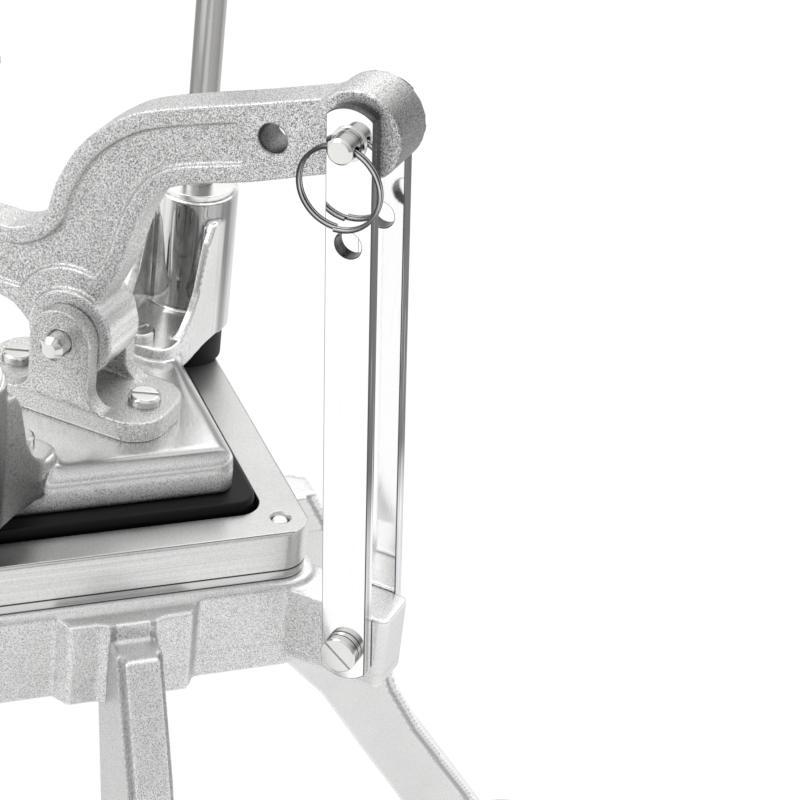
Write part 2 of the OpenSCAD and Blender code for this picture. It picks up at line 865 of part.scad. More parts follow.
// The split ring's wire: two close loops about the Y axis, with both ends at the bottom
function ring_angle(i) = 360 * i / ring_steps - 90;
function ring_point(i, out, along) =
    [(ring_mean_r + out) * cos(ring_angle(i)), ring_pitch * (i / ring_steps - ring_loops / 2) + along,
        (ring_mean_r + out) * sin(ring_angle(i))];
ring_section = [[1, 0], [0.5, 1], [-0.5, 1], [-1, 0], [-0.5, -1], [0.5, -1]];
ring_count = ring_loops * ring_steps;
ring_self_gap = min([for (i = [0:ring_count - ring_steps])
    norm(ring_point(i + ring_steps, 0, 0) - ring_point(i, 0, 0))]) - ring_strip;
echo("least gap between the split ring's loops", ring_self_gap);

// The split ring hangs through the cross hole of a pin, turned with that hole
module hanging_ring(half_grip, turn = 0) {
    n = len(ring_section);
    points = [for (i = [0:ring_count], q = ring_section)
        ring_point(i, q[0] * ring_wire / 2, q[1] * ring_strip / 2)];
    sides = [for (i = [0:ring_count - 1], k = [0:n - 1])
        [i * n + k, i * n + (k + 1) % n, (i + 1) * n + (k + 1) % n, (i + 1) * n + k]];
    first = [for (k = [n - 1:-1:0]) k];
    last = [for (k = [0:n - 1]) ring_count * n + k];
    translate([0, -half_grip - ring_stand, 0])
        rotate([0, turn, 0])
            translate([0, 0, -ring_mean_r + ring_wire / 3])
                polyhedron(points = points, faces = concat(sides, [first, last]));
}

module pin_washer(half_grip) {
    translate([0, -half_grip - pin_washer_t, 0])
        rotate([-90, 0, 0])
            ring(pin_washer_d, pin_d + 2 * fit_gap, 0, pin_washer_t);
}

// The clevis pin is turned round, so that its ring end is on the left side
module at_clevis() placed() translate([0, 0, pivot_z]) mirror([0, 1, 0]) children();

module clevis_pin() color(steel_tint) at_clevis() quick_pin(ear_outer_y, clevis_ring_turn);

module clevis_pin_washer() color(steel_tint) at_clevis() pin_washer(ear_outer_y);

module clevis_ring() color(bright_tint) at_clevis() hanging_ring(ear_outer_y, clevis_ring_turn);

/* Lever body */

arm_size = [lever_reach, lever_rise];
arm_steps = 5;

function arm_top() = smooth(scaled_points(arm_top_shares, arm_size), arm_steps);
function arm_under() = smooth(scaled_points(arm_under_shares, arm_size), arm_steps);
function arm_front_under() = smooth(scaled_points(arm_front_under_shares, arm_size), arm_steps);

module arm_outline() {
    polygon(concat([arm_size], arm_top(), backwards(arm_front_under()), [[0, 0]],
        backwards(arm_under())));
    translate(arm_size)
        circle(rear_boss_r);
    circle(pivot_boss_r);
}

// The sunk web between the rims, from the rear arm down the neck and into the front arm
module recess_outline() {
    top = inset([for (q = arm_top()) if (q[0] < recess_end_share * lever_reach) q], arm_rim);
    under = inset([for (q = arm_under()) if (q[0] < (recess_end_share + 0.06) * lever_reach
        && q[1] > recess_arc_share * pivot_boss_r) q], -arm_rim);
    front = inset([for (q = arm_front_under()) if (q[0] < -0.38 * lever_reach) q], -0.6 * arm_rim);
    arc = arc_points([0, 0], recess_arc_share * pivot_boss_r, 155, 75, 10);
    polygon(concat(top, backwards(front), arc, backwards(under)));
}

module lever_arm() {
    hole = [arm_hole_share[0] * lever_reach, arm_hole_share[1] * lever_rise];
    shank_z = shank_height_share * lever_rise;
    shank_x = shank_start_share * lever_reach;
    color(cast_tint) placed() translate([0, 0, pivot_z]) difference() {
        union() {
            side_plate(arm_w)
                arm_outline();
            translate([lever_reach, 0, lever_rise])
                crossways(2 * rear_boss_r, -link_seat_w / 2, link_seat_w / 2);
            crossways(2 * pivot_boss_r, -pivot_boss_w / 2, pivot_boss_w / 2);
            translate([-handle_reach + grip_end_t, 0, shank_z])
                rotate([0, 90, 0])
                    cylinder(d = shank_d, h = handle_reach - grip_end_t - shank_x);
        }
        for (s = [-1, 1])
            translate([0, s * arm_w / 2, 0])
                side_plate(2 * arm_recess)
                    recess_outline();
        translate([hole[0], 0, hole[1]])
            crossways(arm_hole_d, -arm_w, arm_w);
        crossways(pin_d + 2 * bushing_wall + 2 * fit_gap, -pivot_boss_w, pivot_boss_w);
        translate([lever_reach, 0, lever_rise])
            crossways(pin_d + bushing_wall + 2 * fit_gap, -link_seat_w, link_seat_w);
    }
}

module pivot_bushing() {
    color(bronze_tint) placed()
        translate([0, -pivot_boss_w / 2, pivot_z])
            rotate([-90, 0, 0])
                ring(pin_d + 2 * bushing_wall, pin_d + 2 * fit_gap, 0, pivot_boss_w);
}

module link_bushing() {
    color(bronze_tint) placed()
        translate([lever_reach, -link_seat_w / 2, link_z])
            rotate([-90, 0, 0])
                ring(pin_d + bushing_wall, pin_d + 2 * fit_gap, 0, link_seat_w);
}

grip_end_t = 5;

// A closed grip with a rounded end, a waist and a stop collar towards the frame
module handle_grip() {
    r = grip_d / 2;
    bore_r = shank_d / 2 + fit_gap;
    waist = 0.88 * r;
    curve = smooth([[0.55 * r, 0], [0.92 * r, 0.03 * grip_len], [r, 0.10 * grip_len],
        [waist, 0.35 * grip_len], [waist, 0.62 * grip_len], [r, 0.90 * grip_len],
        [0.98 * r, 0.97 * grip_len], [0.86 * r, grip_len]], 5);
    color(black_tint) placed()
        translate([-handle_reach, 0, pivot_z + shank_height_share * lever_rise])
            rotate([0, 90, 0])
                rotate_extrude()
                    polygon(concat([[0, 0]], curve, [[bore_r, grip_len], [bore_r, grip_end_t - fit_gap],
                        [0, grip_end_t - fit_gap]]));
}

/* Link body */

module link_outline() {
    intersection() {
        translate([-link_w / 2, -link_len - 2 * link_w])
            square([link_w, link_len + 4 * link_w]);
        union() {
            circle(link_end_r);
            translate([0, -link_len])
                circle(link_end_r);
            translate([-link_w / 2, -link_len])
                square([link_w, link_len]);
        }
    }
}

// A link bar on the side s, hanging from the link pin at its own lean
module link_bar(s) {
    color(bright_tint) placed()
        translate([lever_reach, s * (link_inner_y + link_t / 2), link_z])
            rotate([0, link_lean, 0])
                difference() {
                    side_plate(link_t)
                        link_outline();
                    for (drop = [0, spare_hole_step, link_len])
                        translate([0, 0, -drop])
                            crossways(bar_bore_d, -link_t, link_t);
                }
}

module left_link() link_bar(1);

module right_link() link_bar(-1);

module at_link_pin() placed() translate([lever_reach, 0, link_z]) children();

module link_pin() color(steel_tint) at_link_pin() quick_pin(link_outer_y);

module link_pin_washer() color(steel_tint) at_link_pin() pin_washer(link_outer_y);

module link_ring() color(bright_tint) at_link_pin() hanging_ring(link_outer_y);

// The slotted head and first thread of the shoulder screw, in the right bar
module pivot_screw_head() {
    head_h = 0.34 * pivot_head_d;
    groove_y = -1.6 * edge_break;
    color(bright_tint) placed()
        translate([lug_reach, -link_outer_y, lug_z])
            difference() {
                union() {
                    crossways(pivot_head_d, -edge_break, 0);
                    crossways(0.86 * pivot_head_d, groove_y - edge_break / 2, -edge_break / 2);
                    crossways(pivot_head_d, -head_h + edge_break / 2, groove_y);
                    translate([0, -head_h, 0])
                        rotate([-90, 0, 0])
                            cylinder(d1 = pivot_head_d - edge_break, d2 = pivot_head_d, h = edge_break / 2);
                    crossways(pin_d, -edge_break, link_t);
                }
                translate([0, -head_h, 0])
                    rotate([0, -54, 0])
                        cube([0.6 * slot_w, head_h / 3, pivot_head_d + overrun], center = true);
            }
}

// The nut and the end of the shoulder screw, in the left bar
module pivot_nut() {
    color(bright_tint) placed()
        translate([lug_reach, link_outer_y, lug_z]) {
            crossways(pin_d, -link_t, edge_break);
            rotate([-90, 0, 0])
                cylinder(d = pivot_nut_across / cos(30), h = pivot_nut_h, $fn = 6);
            crossways(0.8 * pin_d, 0, pivot_nut_h + edge_break);
        }
}

base_casting();
pivot_shank();
blade_holder();
upper_blades();
lower_blades();
upper_frame();
frame_studs();
stud_washers();
stud_nuts();
left_guide_rod();
right_guide_rod();
rod_washers();
rod_nuts();
stop_washers();
cap_nuts();
left_bumper();
right_bumper();
rubber_feet();
foot_screws();
foot_nuts();
pusher_head();
left_guide_bushing();
right_guide_bushing();
pusher_block();
block_screws();
clevis_bracket();
bracket_screws();
clevis_pin();
clevis_pin_washer();
clevis_ring();
lever_arm();
pivot_bushing();
link_bushing();
handle_grip();
left_link();
right_link();
link_pin();
link_pin_washer();
link_ring();
pivot_screw_head();
pivot_nut();
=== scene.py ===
"""Photo-matched model of a lever french fry cutter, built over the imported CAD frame.

Castings get a soft skin with rounded edges, machined pieces get broken edges, and blades, fingers
and split rings are made by Geometry Nodes. Lengths are in metres in the frame of the CAD model.
"""
import json
import logging
import math
from collections.abc import Callable
from dataclasses import dataclass, field
from enum import Enum

import bmesh
import bpy
import numpy as np
from mathutils import Matrix, Vector


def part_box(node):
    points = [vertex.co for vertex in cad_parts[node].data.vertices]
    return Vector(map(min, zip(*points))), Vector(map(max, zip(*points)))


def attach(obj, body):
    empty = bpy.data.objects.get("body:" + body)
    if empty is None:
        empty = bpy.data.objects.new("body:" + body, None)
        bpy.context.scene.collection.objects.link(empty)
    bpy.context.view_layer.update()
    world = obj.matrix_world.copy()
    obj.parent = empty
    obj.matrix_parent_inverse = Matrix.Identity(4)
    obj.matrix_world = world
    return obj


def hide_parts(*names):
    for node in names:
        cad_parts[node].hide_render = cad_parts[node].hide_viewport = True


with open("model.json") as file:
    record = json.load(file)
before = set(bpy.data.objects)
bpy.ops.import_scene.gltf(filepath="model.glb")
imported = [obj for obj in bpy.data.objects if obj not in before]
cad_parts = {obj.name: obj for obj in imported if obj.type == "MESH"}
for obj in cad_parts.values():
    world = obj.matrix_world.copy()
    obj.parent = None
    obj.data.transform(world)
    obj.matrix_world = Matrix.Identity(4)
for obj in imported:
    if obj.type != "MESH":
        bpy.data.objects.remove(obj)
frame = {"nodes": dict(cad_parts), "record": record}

logging.basicConfig(level=logging.INFO, format="%(message)s")
log = logging.getLogger("fry_cutter")

MM = 0.001
# The cutting axis stands at this X, and the upper frame's top face at this height
AXIS_X = 0.04984
FRAME_TOP = 0.254
# Heights of the base casting's parting line and of the blade holder's two faces
PARTING_LINE = FRAME_TOP - 49.0 * MM
PLATE_TOP = FRAME_TOP - 17.0 * MM
PLATE_LOW = FRAME_TOP - 21.0 * MM
# Most triangles that a casting keeps
PIECE_LIMIT = 190_000
# The sine of a normal's bearing plus this angle runs from the picture's left to its right
PHOTO_TURN = 1.075
# Share of its colour that a full dark mark of painted shade takes, and the least shade of a metal
MARK_DEPTH = 0.86
DARKEST = 0.03

Array = np.ndarray
Pair = tuple[float, float]
Triple = tuple[float, float, float]
Rule = Callable[[Array, Array], Array]


class Slot(Enum):
    """Material slots of the pieces that Geometry Nodes make."""

    BLADE = "stainless_blade"
    RING = "ring_steel"
    PLASTIC = "black_plastic"


class Mark(Enum):
    """Numbers that a mesh may carry for its material."""

    SATIN = "satin"
    # Burnish on bosses, with painted reflection streaks in the colour
    BOSS = "boss"
    COARSE = "coarse"
    # Painted shade and painted reflection streaks, as a share of darkening
    DARK = "dark"


class Side(Enum):
    """The two sides of the cutter, as factors of Y."""

    LEFT = 1
    RIGHT = -1


# Node graphs


@dataclass
class Sock:
    """An output socket that takes part in arithmetic."""

    graph: "Graph"
    socket: bpy.types.NodeSocket

    def __add__(self, other: "Sock | float") -> "Sock":
        """This plus the other."""
        return self.graph.math("ADD", self, other)

    def __radd__(self, other: float) -> "Sock":
        """The other plus this."""
        return self.graph.math("ADD", other, self)

    def __sub__(self, other: "Sock | float") -> "Sock":
        """This less the other."""
        return self.graph.math("SUBTRACT", self, other)

    def __rsub__(self, other: float) -> "Sock":
        """The other less this."""
        return self.graph.math("SUBTRACT", other, self)

    def __mul__(self, other: "Sock | float") -> "Sock":
        """This times the other."""
        return self.graph.math("MULTIPLY", self, other)

    def __rmul__(self, other: float) -> "Sock":
        """The other times this."""
        return self.graph.math("MULTIPLY", other, self)

    def __truediv__(self, other: "Sock | float") -> "Sock":
        """This over the other."""
        return self.graph.math("DIVIDE", self, other)


class Graph:
    """A node tree with short ways to add and link nodes."""

    def __init__(self, tree: bpy.types.NodeTree) -> None:
        """Keeps the tree that the nodes go into."""
        self.tree = tree

    def node(self, kind: str, settings: dict | None = None,
             inputs: dict | None = None) -> bpy.types.Node:
        """Adds a node.

        Args:
            kind: The node's type name.
            settings: Properties, set before the inputs.
            inputs: Values or sockets by input identifier, name or index.

        Returns:
            The new node.
        """
        new = self.tree.nodes.new(kind)
        for key, value in (settings or {}).items():
            setattr(new, key, value)
        for key, value in (inputs or {}).items():
            self.feed(new, key, value)
        return new

    def feed(self, node: bpy.types.Node, key: str | int, value: object) -> None:
        """Links or sets one input of a node.

        Args:
            node: The node that has the input.
            key: The input's identifier, name or index.
            value: A Sock, or a plain value for the socket's own default.
        """
        target = self.find(node.inputs, key)
        if isinstance(value, Sock):
            self.tree.links.new(value.socket, target)
        elif target.type == "RGBA" and len(value) == 3:
            target.default_value = (*value, 1.0)
        else:
            target.default_value = value

    @staticmethod
    def find(sockets: object, key: str | int) -> bpy.types.NodeSocket:
        """The socket with that index, identifier or name."""
        if isinstance(key, int):
            return sockets[key]
        for test in ("identifier", "name"):
            for socket in sockets:
                if getattr(socket, test) == key:
                    return socket
        raise KeyError(key)

    def value(self, kind: str, settings: dict | None = None, inputs: dict | None = None,
              out: str | int = 0) -> Sock:
        """Adds a node and gives one of its outputs.

        Args:
            kind: The node's type name.
            settings: Properties, set before the inputs.
            inputs: Values or sockets by input identifier, name or index.
            out: The output's identifier, name or index.

        Returns:
            That output.
        """
        return Sock(self, self.find(self.node(kind, settings, inputs).outputs, out))

    def math(self, operation: str, a: Sock | float, b: Sock | float) -> Sock:
        """One arithmetic step on two numbers."""
        return self.value("ShaderNodeMath", {"operation": operation}, {0: a, 1: b})

    def coords(self) -> Sock:
        """Object coordinates, in metres."""
        return self.value("ShaderNodeTexCoord", out="Object")

    def stretch(self, vector: Sock, scale: Triple) -> Sock:
        """The vector scaled along its axes."""
        return self.value("ShaderNodeVectorMath", {"operation": "MULTIPLY"}, {0: vector, 1: scale})

    def noise(self, vector: Sock, scale: float, detail: float = 2.0, rough: float = 0.5) -> Sock:
        """Noise centred on zero, about -0.3 to 0.3.

        Args:
            vector: The coordinates.
            scale: Features per metre.
            detail: Octaves.
            rough: Share of the finer octaves.

        Returns:
            The noise as a number.
        """
        inputs = {"Vector": vector, "Scale": scale, "Detail": detail, "Roughness": rough}
        return self.value("ShaderNodeTexNoise", {"noise_dimensions": "3D"}, inputs) - 0.5

    def remap(self, value: Sock, low: float, high: float, to_low: float = 0.0,
              to_high: float = 1.0) -> Sock:
        """The value eased from one range to another and clamped there."""
        return self.value("ShaderNodeMapRange", {"interpolation_type": "SMOOTHSTEP", "clamp": True},
                          {"Value": value, "From Min": low, "From Max": high, "To Min": to_low,
                           "To Max": to_high})

    def tint(self, color: Triple, shade: Sock | float) -> Sock:
        """The colour made lighter or darker by a factor."""
        return self.value("ShaderNodeVectorMath", {"operation": "SCALE"},
                          {0: color, "Scale": shade})

    def blend(self, factor: Sock | float, a: object, b: object) -> Sock:
        """A colour between a and b."""
        return self.value("ShaderNodeMix", {"data_type": "RGBA", "clamp_factor": True},
                          {"Factor_Float": factor, "A_Color": a, "B_Color": b}, "Result_Color")

    def attribute(self, mark: Mark) -> Sock:
        """A mark's number on the mesh."""
        return self.value("ShaderNodeAttribute", {"attribute_name": mark.value}, out="Fac")

    def unshaded(self) -> Sock:
        """What the dark mark, painted shade and painted reflections, leaves of the colour."""
        return 1.0 - MARK_DEPTH * self.attribute(Mark.DARK)

    def height(self, at: Sock) -> Sock:
        """The coordinate along Z."""
        return self.value("ShaderNodeSeparateXYZ", inputs={0: at}, out="Z")

    def line_at(self, at: Sock, level: float, outer: float, inner: float) -> Sock:
        """1 within the inner distance of a height and 0 beyond the outer one."""
        return self.remap(self.math("ABSOLUTE", self.height(at) - level, 0.0), outer, inner)

    def pointiness(self) -> Sock:
        """Above 0.5 on outer edges and below it in hollows."""
        return self.value("ShaderNodeNewGeometry", out="Pointiness")

    def grazing(self) -> Sock:
        """0 where the surface is seen head-on, 1 at its rim."""
        return self.value("ShaderNodeLayerWeight", inputs={"Blend": 0.5}, out="Facing")

    def bump(self, height: Sock, distance: float, strength: float) -> Sock:
        """A normal bent by a height in units of the distance."""
        return self.value("ShaderNodeBump", inputs={"Height": height, "Distance": distance,
                                                    "Strength": strength}, out="Normal")


# Finishes


@dataclass(frozen=True)
class Surface:
    """A finish: its name, base colour and roughness. Factors in fill set how strong each effect is."""

    name: str
    color: Triple
    roughness: float

    def material(self) -> bpy.types.Material:
        """Makes the node material of this finish."""
        made = bpy.data.materials.new(self.name)
        made.use_nodes = True
        made.diffuse_color = (*self.color, 1.0)
        shader = next(n for n in made.node_tree.nodes if n.type == "BSDF_PRINCIPLED")
        self.fill(Graph(made.node_tree), shader)
        return made

    def fill(self, graph: Graph, shader: bpy.types.Node) -> None:
        """Feeds the shader; each kind of finish does this in its own way."""
        raise NotImplementedError

    def metal(self, graph: Graph, shader: bpy.types.Node, shade: Sock, roughness: Sock,
              normal: Sock) -> None:
        """Feeds the shader of a metal.

        Args:
            graph: The material's graph.
            shader: Its shader.
            shade: Factor on the base colour.
            roughness: What is added to the base roughness.
            normal: The bent normal.
        """
        graph.feed(shader, "Base Color", graph.tint(self.color, shade))
        graph.feed(shader, "Metallic", 1.0)
        graph.feed(shader, "Roughness", roughness + self.roughness)
        graph.feed(shader, "Normal", normal)


@dataclass(frozen=True)
class CastSurface(Surface):
    """Bead-blasted casting: sparkling grain, soft clouds, lighter edges and darker hollows.

    The edges are lighter as worn metal with a painted highlight, the hollows darker as painted shade.
    The satin mark smooths it, boss burnishes it and paints reflection streaks, coarse adds grain
    and dark paints shade and reflections on it.
    """

    grain: float = 0.5
    cloud: float = 0.22
    line_z: float = 0.0
    # How much outer edges lighten: worn metal and a painted highlight
    edge_lightening: float = 0.2
    fineness: float = 2800.0
    # Stretch of the noise that paints reflection streaks on bosses
    streaks: Triple = (230.0, 230.0, 14.0)
    least: float = 0.22
    most: float = 1.4
    relief: float = 0.22 * MM

    def fill(self, graph: Graph, shader: bpy.types.Node) -> None:
        """Grain, clouds, worn edges with a painted highlight, painted shade in hollows and at the
        rims, burnish and painted reflection streaks on bosses and, on the base, the parting line.
        """
        at = graph.coords()
        fine = graph.noise(at, self.fineness, 2.0, 0.8)
        speck = graph.noise(at, self.fineness * 0.3, 2.0, 0.6)
        cloud = graph.noise(at, 34.0, 2.0)
        streak = graph.noise(graph.stretch(at, self.streaks), 1.0, 2.0, 0.5)
        satin, boss, coarse = (graph.attribute(m) for m in (Mark.SATIN, Mark.BOSS, Mark.COARSE))
        amount = (1.0 - 0.82 * satin) * (1.0 - 0.8 * boss) * (1.0 + 0.9 * coarse)
        grains = (fine * (2.6 * self.grain) + speck * (0.2 * self.grain)) * amount
        # Outer edges lighten as worn metal with a painted highlight; hollows darken as painted shade
        edge = graph.remap(graph.pointiness(), 0.505, 0.56)
        crease_shade = graph.remap(graph.pointiness(), 0.495, 0.43)
        shade = graph.math("MAXIMUM", 1.0 + grains + cloud * self.cloud, self.least)
        shade = graph.math("MINIMUM", shade, self.most)
        shade = shade * (1.0 + edge * self.edge_lightening) * (1.0 - crease_shade * 0.36) * (1.0 + coarse * 0.36)
        # Painted shade: darker where the surface turns away from the view
        shade = shade * (1.0 - graph.remap(graph.grazing(), 0.55, 1.0) * 0.25)
        # Painted reflection streaks on bosses, then the dark mark's painted shade
        shade = shade * (1.0 - boss * (0.12 - streak * 1.3)) * graph.unshaded()
        height = (fine + speck * 0.8) * amount
        if self.line_z:
            height = height + graph.line_at(at, self.line_z, 0.9 * MM, 0.1 * MM) * 1.6
        self.metal(graph, shader, graph.math("MAXIMUM", shade, DARKEST),
                   cloud * 0.12 + fine * 0.25 - satin * 0.14 - boss * 0.16,
                   graph.bump(height, self.relief, 0.5))


@dataclass(frozen=True)
class BrushedSurface(Surface):
    """Machined or ground metal with fine lines along one direction.

    Seams are the heights of dark joints. Between two heights a painted reflection darkens it
    upwards, where its brightest lines stay light, and rim paints shade where it turns away.
    """

    lines: Triple = (7.0, 7.0, 1500.0)
    contrast: float = 0.3
    # Share of painted shade toward the rim, where the surface turns away from the view
    rim: float = 0.0
    satin_grain: float = 0.1
    seams: tuple[float, ...] = ()
    # Two heights between which a painted reflection darkens the colour upwards
    painted_dark_span: tuple[float, ...] = ()
    relief: float = 0.08 * MM

    def fill(self, graph: Graph, shader: bpy.types.Node) -> None:
        """Lines in colour, roughness and bump, with a satin grain between them."""
        at = graph.coords()
        lines = graph.noise(graph.stretch(at, self.lines), 1.0, 4.0, 0.65)
        satin = graph.noise(at, 1300.0, 2.0, 0.6)
        cloud = graph.noise(at, 24.0, 2.0)
        shade = 1.0 + lines * self.contrast + satin * self.satin_grain + cloud * 0.10
        # Painted shade toward the rim
        if self.rim:
            shade = shade * (1.0 - graph.remap(graph.grazing(), 0.35, 0.95) * self.rim)
        # Painted reflection: darker upwards between two heights, the brightest lines painted light
        if self.painted_dark_span:
            painted_dark = graph.remap(graph.height(at), *self.painted_dark_span, 1.0, 0.12)
            shade = shade * painted_dark + graph.remap(lines, 0.08, 0.16) * 0.6
        shade = shade * graph.unshaded()
        for seam in self.seams:
            shade = shade * (1.0 - graph.line_at(at, seam, 0.55 * MM, 0.2 * MM) * 0.85)
        self.metal(graph, shader, graph.math("MAXIMUM", shade, DARKEST),
                   lines * 0.25 + cloud * 0.08, graph.bump(lines + satin * 0.3, self.relief, 0.3))


@dataclass(frozen=True)
class PolishedSurface(Surface):
    """Polished steel with hairline scratches, faint smudges and a painted reflection: a dark band
    where it turns away.
    """

    smudge: float = 0.08
    # Strength and span of the painted reflection band
    band: float = 0.0
    band_at: Pair = (0.56, 0.86)
    scratches: Triple = (1600.0, 1600.0, 18.0)
    relief: float = 0.03 * MM

    def fill(self, graph: Graph, shader: bpy.types.Node) -> None:
        """Smudges in colour and roughness over sparse scratches."""
        at = graph.coords()
        smudge = graph.noise(at, 46.0, 3.0, 0.6)
        hair = graph.noise(graph.stretch(at, self.scratches), 1.0, 3.0, 0.7)
        scratch = graph.remap(hair, 0.12, 0.2)
        shade = (1.0 + smudge * self.smudge - scratch * 0.05) * graph.unshaded()
        # Painted reflection: a dark band where the surface turns away from the view
        if self.band:
            turned = graph.grazing() + smudge * 0.12
            low, high = self.band_at
            rise = graph.remap(turned, low - 0.07, low + 0.05)
            fall = graph.remap(turned, high - 0.05, high + 0.07)
            shade = shade * (1.0 - rise * (1.0 - fall) * self.band)
        self.metal(graph, shader, shade, smudge * 0.08 + scratch * 0.06,
                   graph.bump(hair, self.relief, 0.15))


@dataclass(frozen=True)
class MouldedSurface(Surface):
    """Rubber, plastic or vinyl with a fine moulded texture."""

    texture: float = 700.0
    depth: float = 0.12 * MM
    coat: float = 0.0

    def fill(self, graph: Graph, shader: bpy.types.Node) -> None:
        """A leathery grain in bump and roughness with dusty patches."""
        at = graph.coords()
        grain = graph.noise(at, self.texture, 3.0, 0.6)
        dust = graph.noise(at, 55.0, 3.0, 0.6)
        edge_lightening = graph.remap(graph.pointiness(), 0.52, 0.6)
        shade = 1.0 + dust * 0.6 + grain * 0.5 + edge_lightening * 0.8
        graph.feed(shader, "Base Color", graph.tint(self.color, shade))
        graph.feed(shader, "Roughness", grain * 0.25 + dust * 0.2 + self.roughness)
        graph.feed(shader, "Coat Weight", self.coat)
        graph.feed(shader, "Specular IOR Level", 0.22)
        graph.feed(shader, "Normal", graph.bump(grain, self.depth, 0.4))


@dataclass(frozen=True)
class FloorSurface(Surface):
    """Plain pale sweep that shows nearly white and still takes the object's shadow."""

    lift: float = 0.78
    glow: float = 1.07

    def fill(self, graph: Graph, shader: bpy.types.Node) -> None:
        """Lambert floor, mixed with plain white light for rays from the camera and mirrors."""
        paper = graph.noise(graph.coords(), 3.0, 2.0)
        graph.feed(shader, "Base Color", graph.tint(self.color, 1.0 + paper * 0.02))
        graph.feed(shader, "Roughness", self.roughness)
        graph.feed(shader, "Specular IOR Level", 0.0)
        glow = graph.value("ShaderNodeEmission",
                           inputs={"Color": (1.0, 1.0, 1.0), "Strength": self.glow})
        path = graph.node("ShaderNodeLightPath")
        seen = [Sock(graph, path.outputs[n]) for n in ("Is Camera Ray", "Is Glossy Ray")]
        share = graph.math("MAXIMUM", *seen) * self.lift
        output = next(n for n in graph.tree.nodes if n.type == "OUTPUT_MATERIAL")
        both = graph.value("ShaderNodeMixShader",
                           inputs={0: share, 1: Sock(graph, shader.outputs[0]), 2: glow})
        graph.feed(output, "Surface", both)


FINISHES: dict[str, Surface] = {finish.name: finish for finish in (
    CastSurface("cast_aluminium", (0.77, 0.77, 0.76), 0.43, grain=4.6,
                streaks=(330.0, 16.0, 330.0)),
    CastSurface("base_aluminium", (0.75, 0.75, 0.745), 0.42, grain=1.6, edge_lightening=0.3,
                line_z=PARTING_LINE),
    CastSurface("bracket_aluminium", (0.69, 0.69, 0.68), 0.40, grain=3.0),
    CastSurface("head_aluminium", (0.88, 0.88, 0.87), 0.36, grain=2.1),
    BrushedSurface("machined_aluminium", (0.75, 0.75, 0.74), 0.34, contrast=0.75, satin_grain=0.5,
                   seams=(PLATE_TOP,)),
    BrushedSurface("stainless_plate", (0.66, 0.66, 0.65), 0.28, contrast=0.5,
                   seams=(PLATE_TOP, PLATE_LOW)),
    BrushedSurface("stainless_blade", (0.78, 0.78, 0.78), 0.18, contrast=0.15),
    PolishedSurface("polished_bar", (0.985, 0.985, 0.985), 0.07, smudge=0.03),
    # Link bars' ground edges, darkened upwards by a painted reflection
    BrushedSurface("bar_edge", (0.74, 0.74, 0.75), 0.2, lines=(9.0, 650.0, 9.0), contrast=2.6,
                   painted_dark_span=(0.262, 0.300)),
    BrushedSurface("bar_bevel", (0.10, 0.10, 0.105), 0.3, lines=(90.0, 90.0, 30.0), contrast=0.6),
    BrushedSurface("ground_rod", (0.60, 0.595, 0.58), 0.24, lines=(330.0, 330.0, 2.5), contrast=1.2,
                   rim=0.3, satin_grain=0.2),
    BrushedSurface("bushing_steel", (0.92, 0.92, 0.91), 0.2, lines=(5.0, 5.0, 1600.0),
                   contrast=0.12),
    PolishedSurface("hardware", (0.80, 0.795, 0.775), 0.14, smudge=0.2, band=0.85,
                    band_at=(0.66, 0.92)),
    PolishedSurface("ring_steel", (0.78, 0.78, 0.78), 0.1, smudge=0.3, band=0.94,
                    band_at=(0.16, 0.74)),
    BrushedSurface("bronze", (0.55, 0.36, 0.16), 0.3, contrast=0.25),
    MouldedSurface("black_rubber", (0.010, 0.010, 0.010), 0.55),
    MouldedSurface("black_plastic", (0.003, 0.003, 0.003), 0.42, texture=1100.0,
                   depth=0.05 * MM),
    MouldedSurface("black_vinyl", (0.02, 0.02, 0.021), 0.42, texture=420.0,
                   depth=0.2 * MM, coat=0.1),
)}


# Making pieces


def linked(data: bpy.types.ID, name: str) -> bpy.types.Object:
    """A new object with that data in the scene's own collection."""
    thing = bpy.data.objects.new(name, data)
    bpy.context.scene.collection.objects.link(thing)
    return thing


def mesh_from(work: bmesh.types.BMesh, name: str) -> bpy.types.Mesh:
    """A new mesh from mesh data, which is freed."""
    mesh = bpy.data.meshes.new(name)
    work.to_mesh(mesh)
    work.free()
    return mesh


def ramp(values: Array, start: float, end: float) -> Array:
    """0 before the start and 1 past the end, which may be the lower one."""
    return np.clip((values - start) / (end - start), 0.0, 1.0)


def across_photo(normals: Array) -> Array:
    """-1 on walls that face the picture's left and 1 on those that face its right."""
    return np.sin(np.arctan2(normals[:, 1], normals[:, 0]) + PHOTO_TURN)


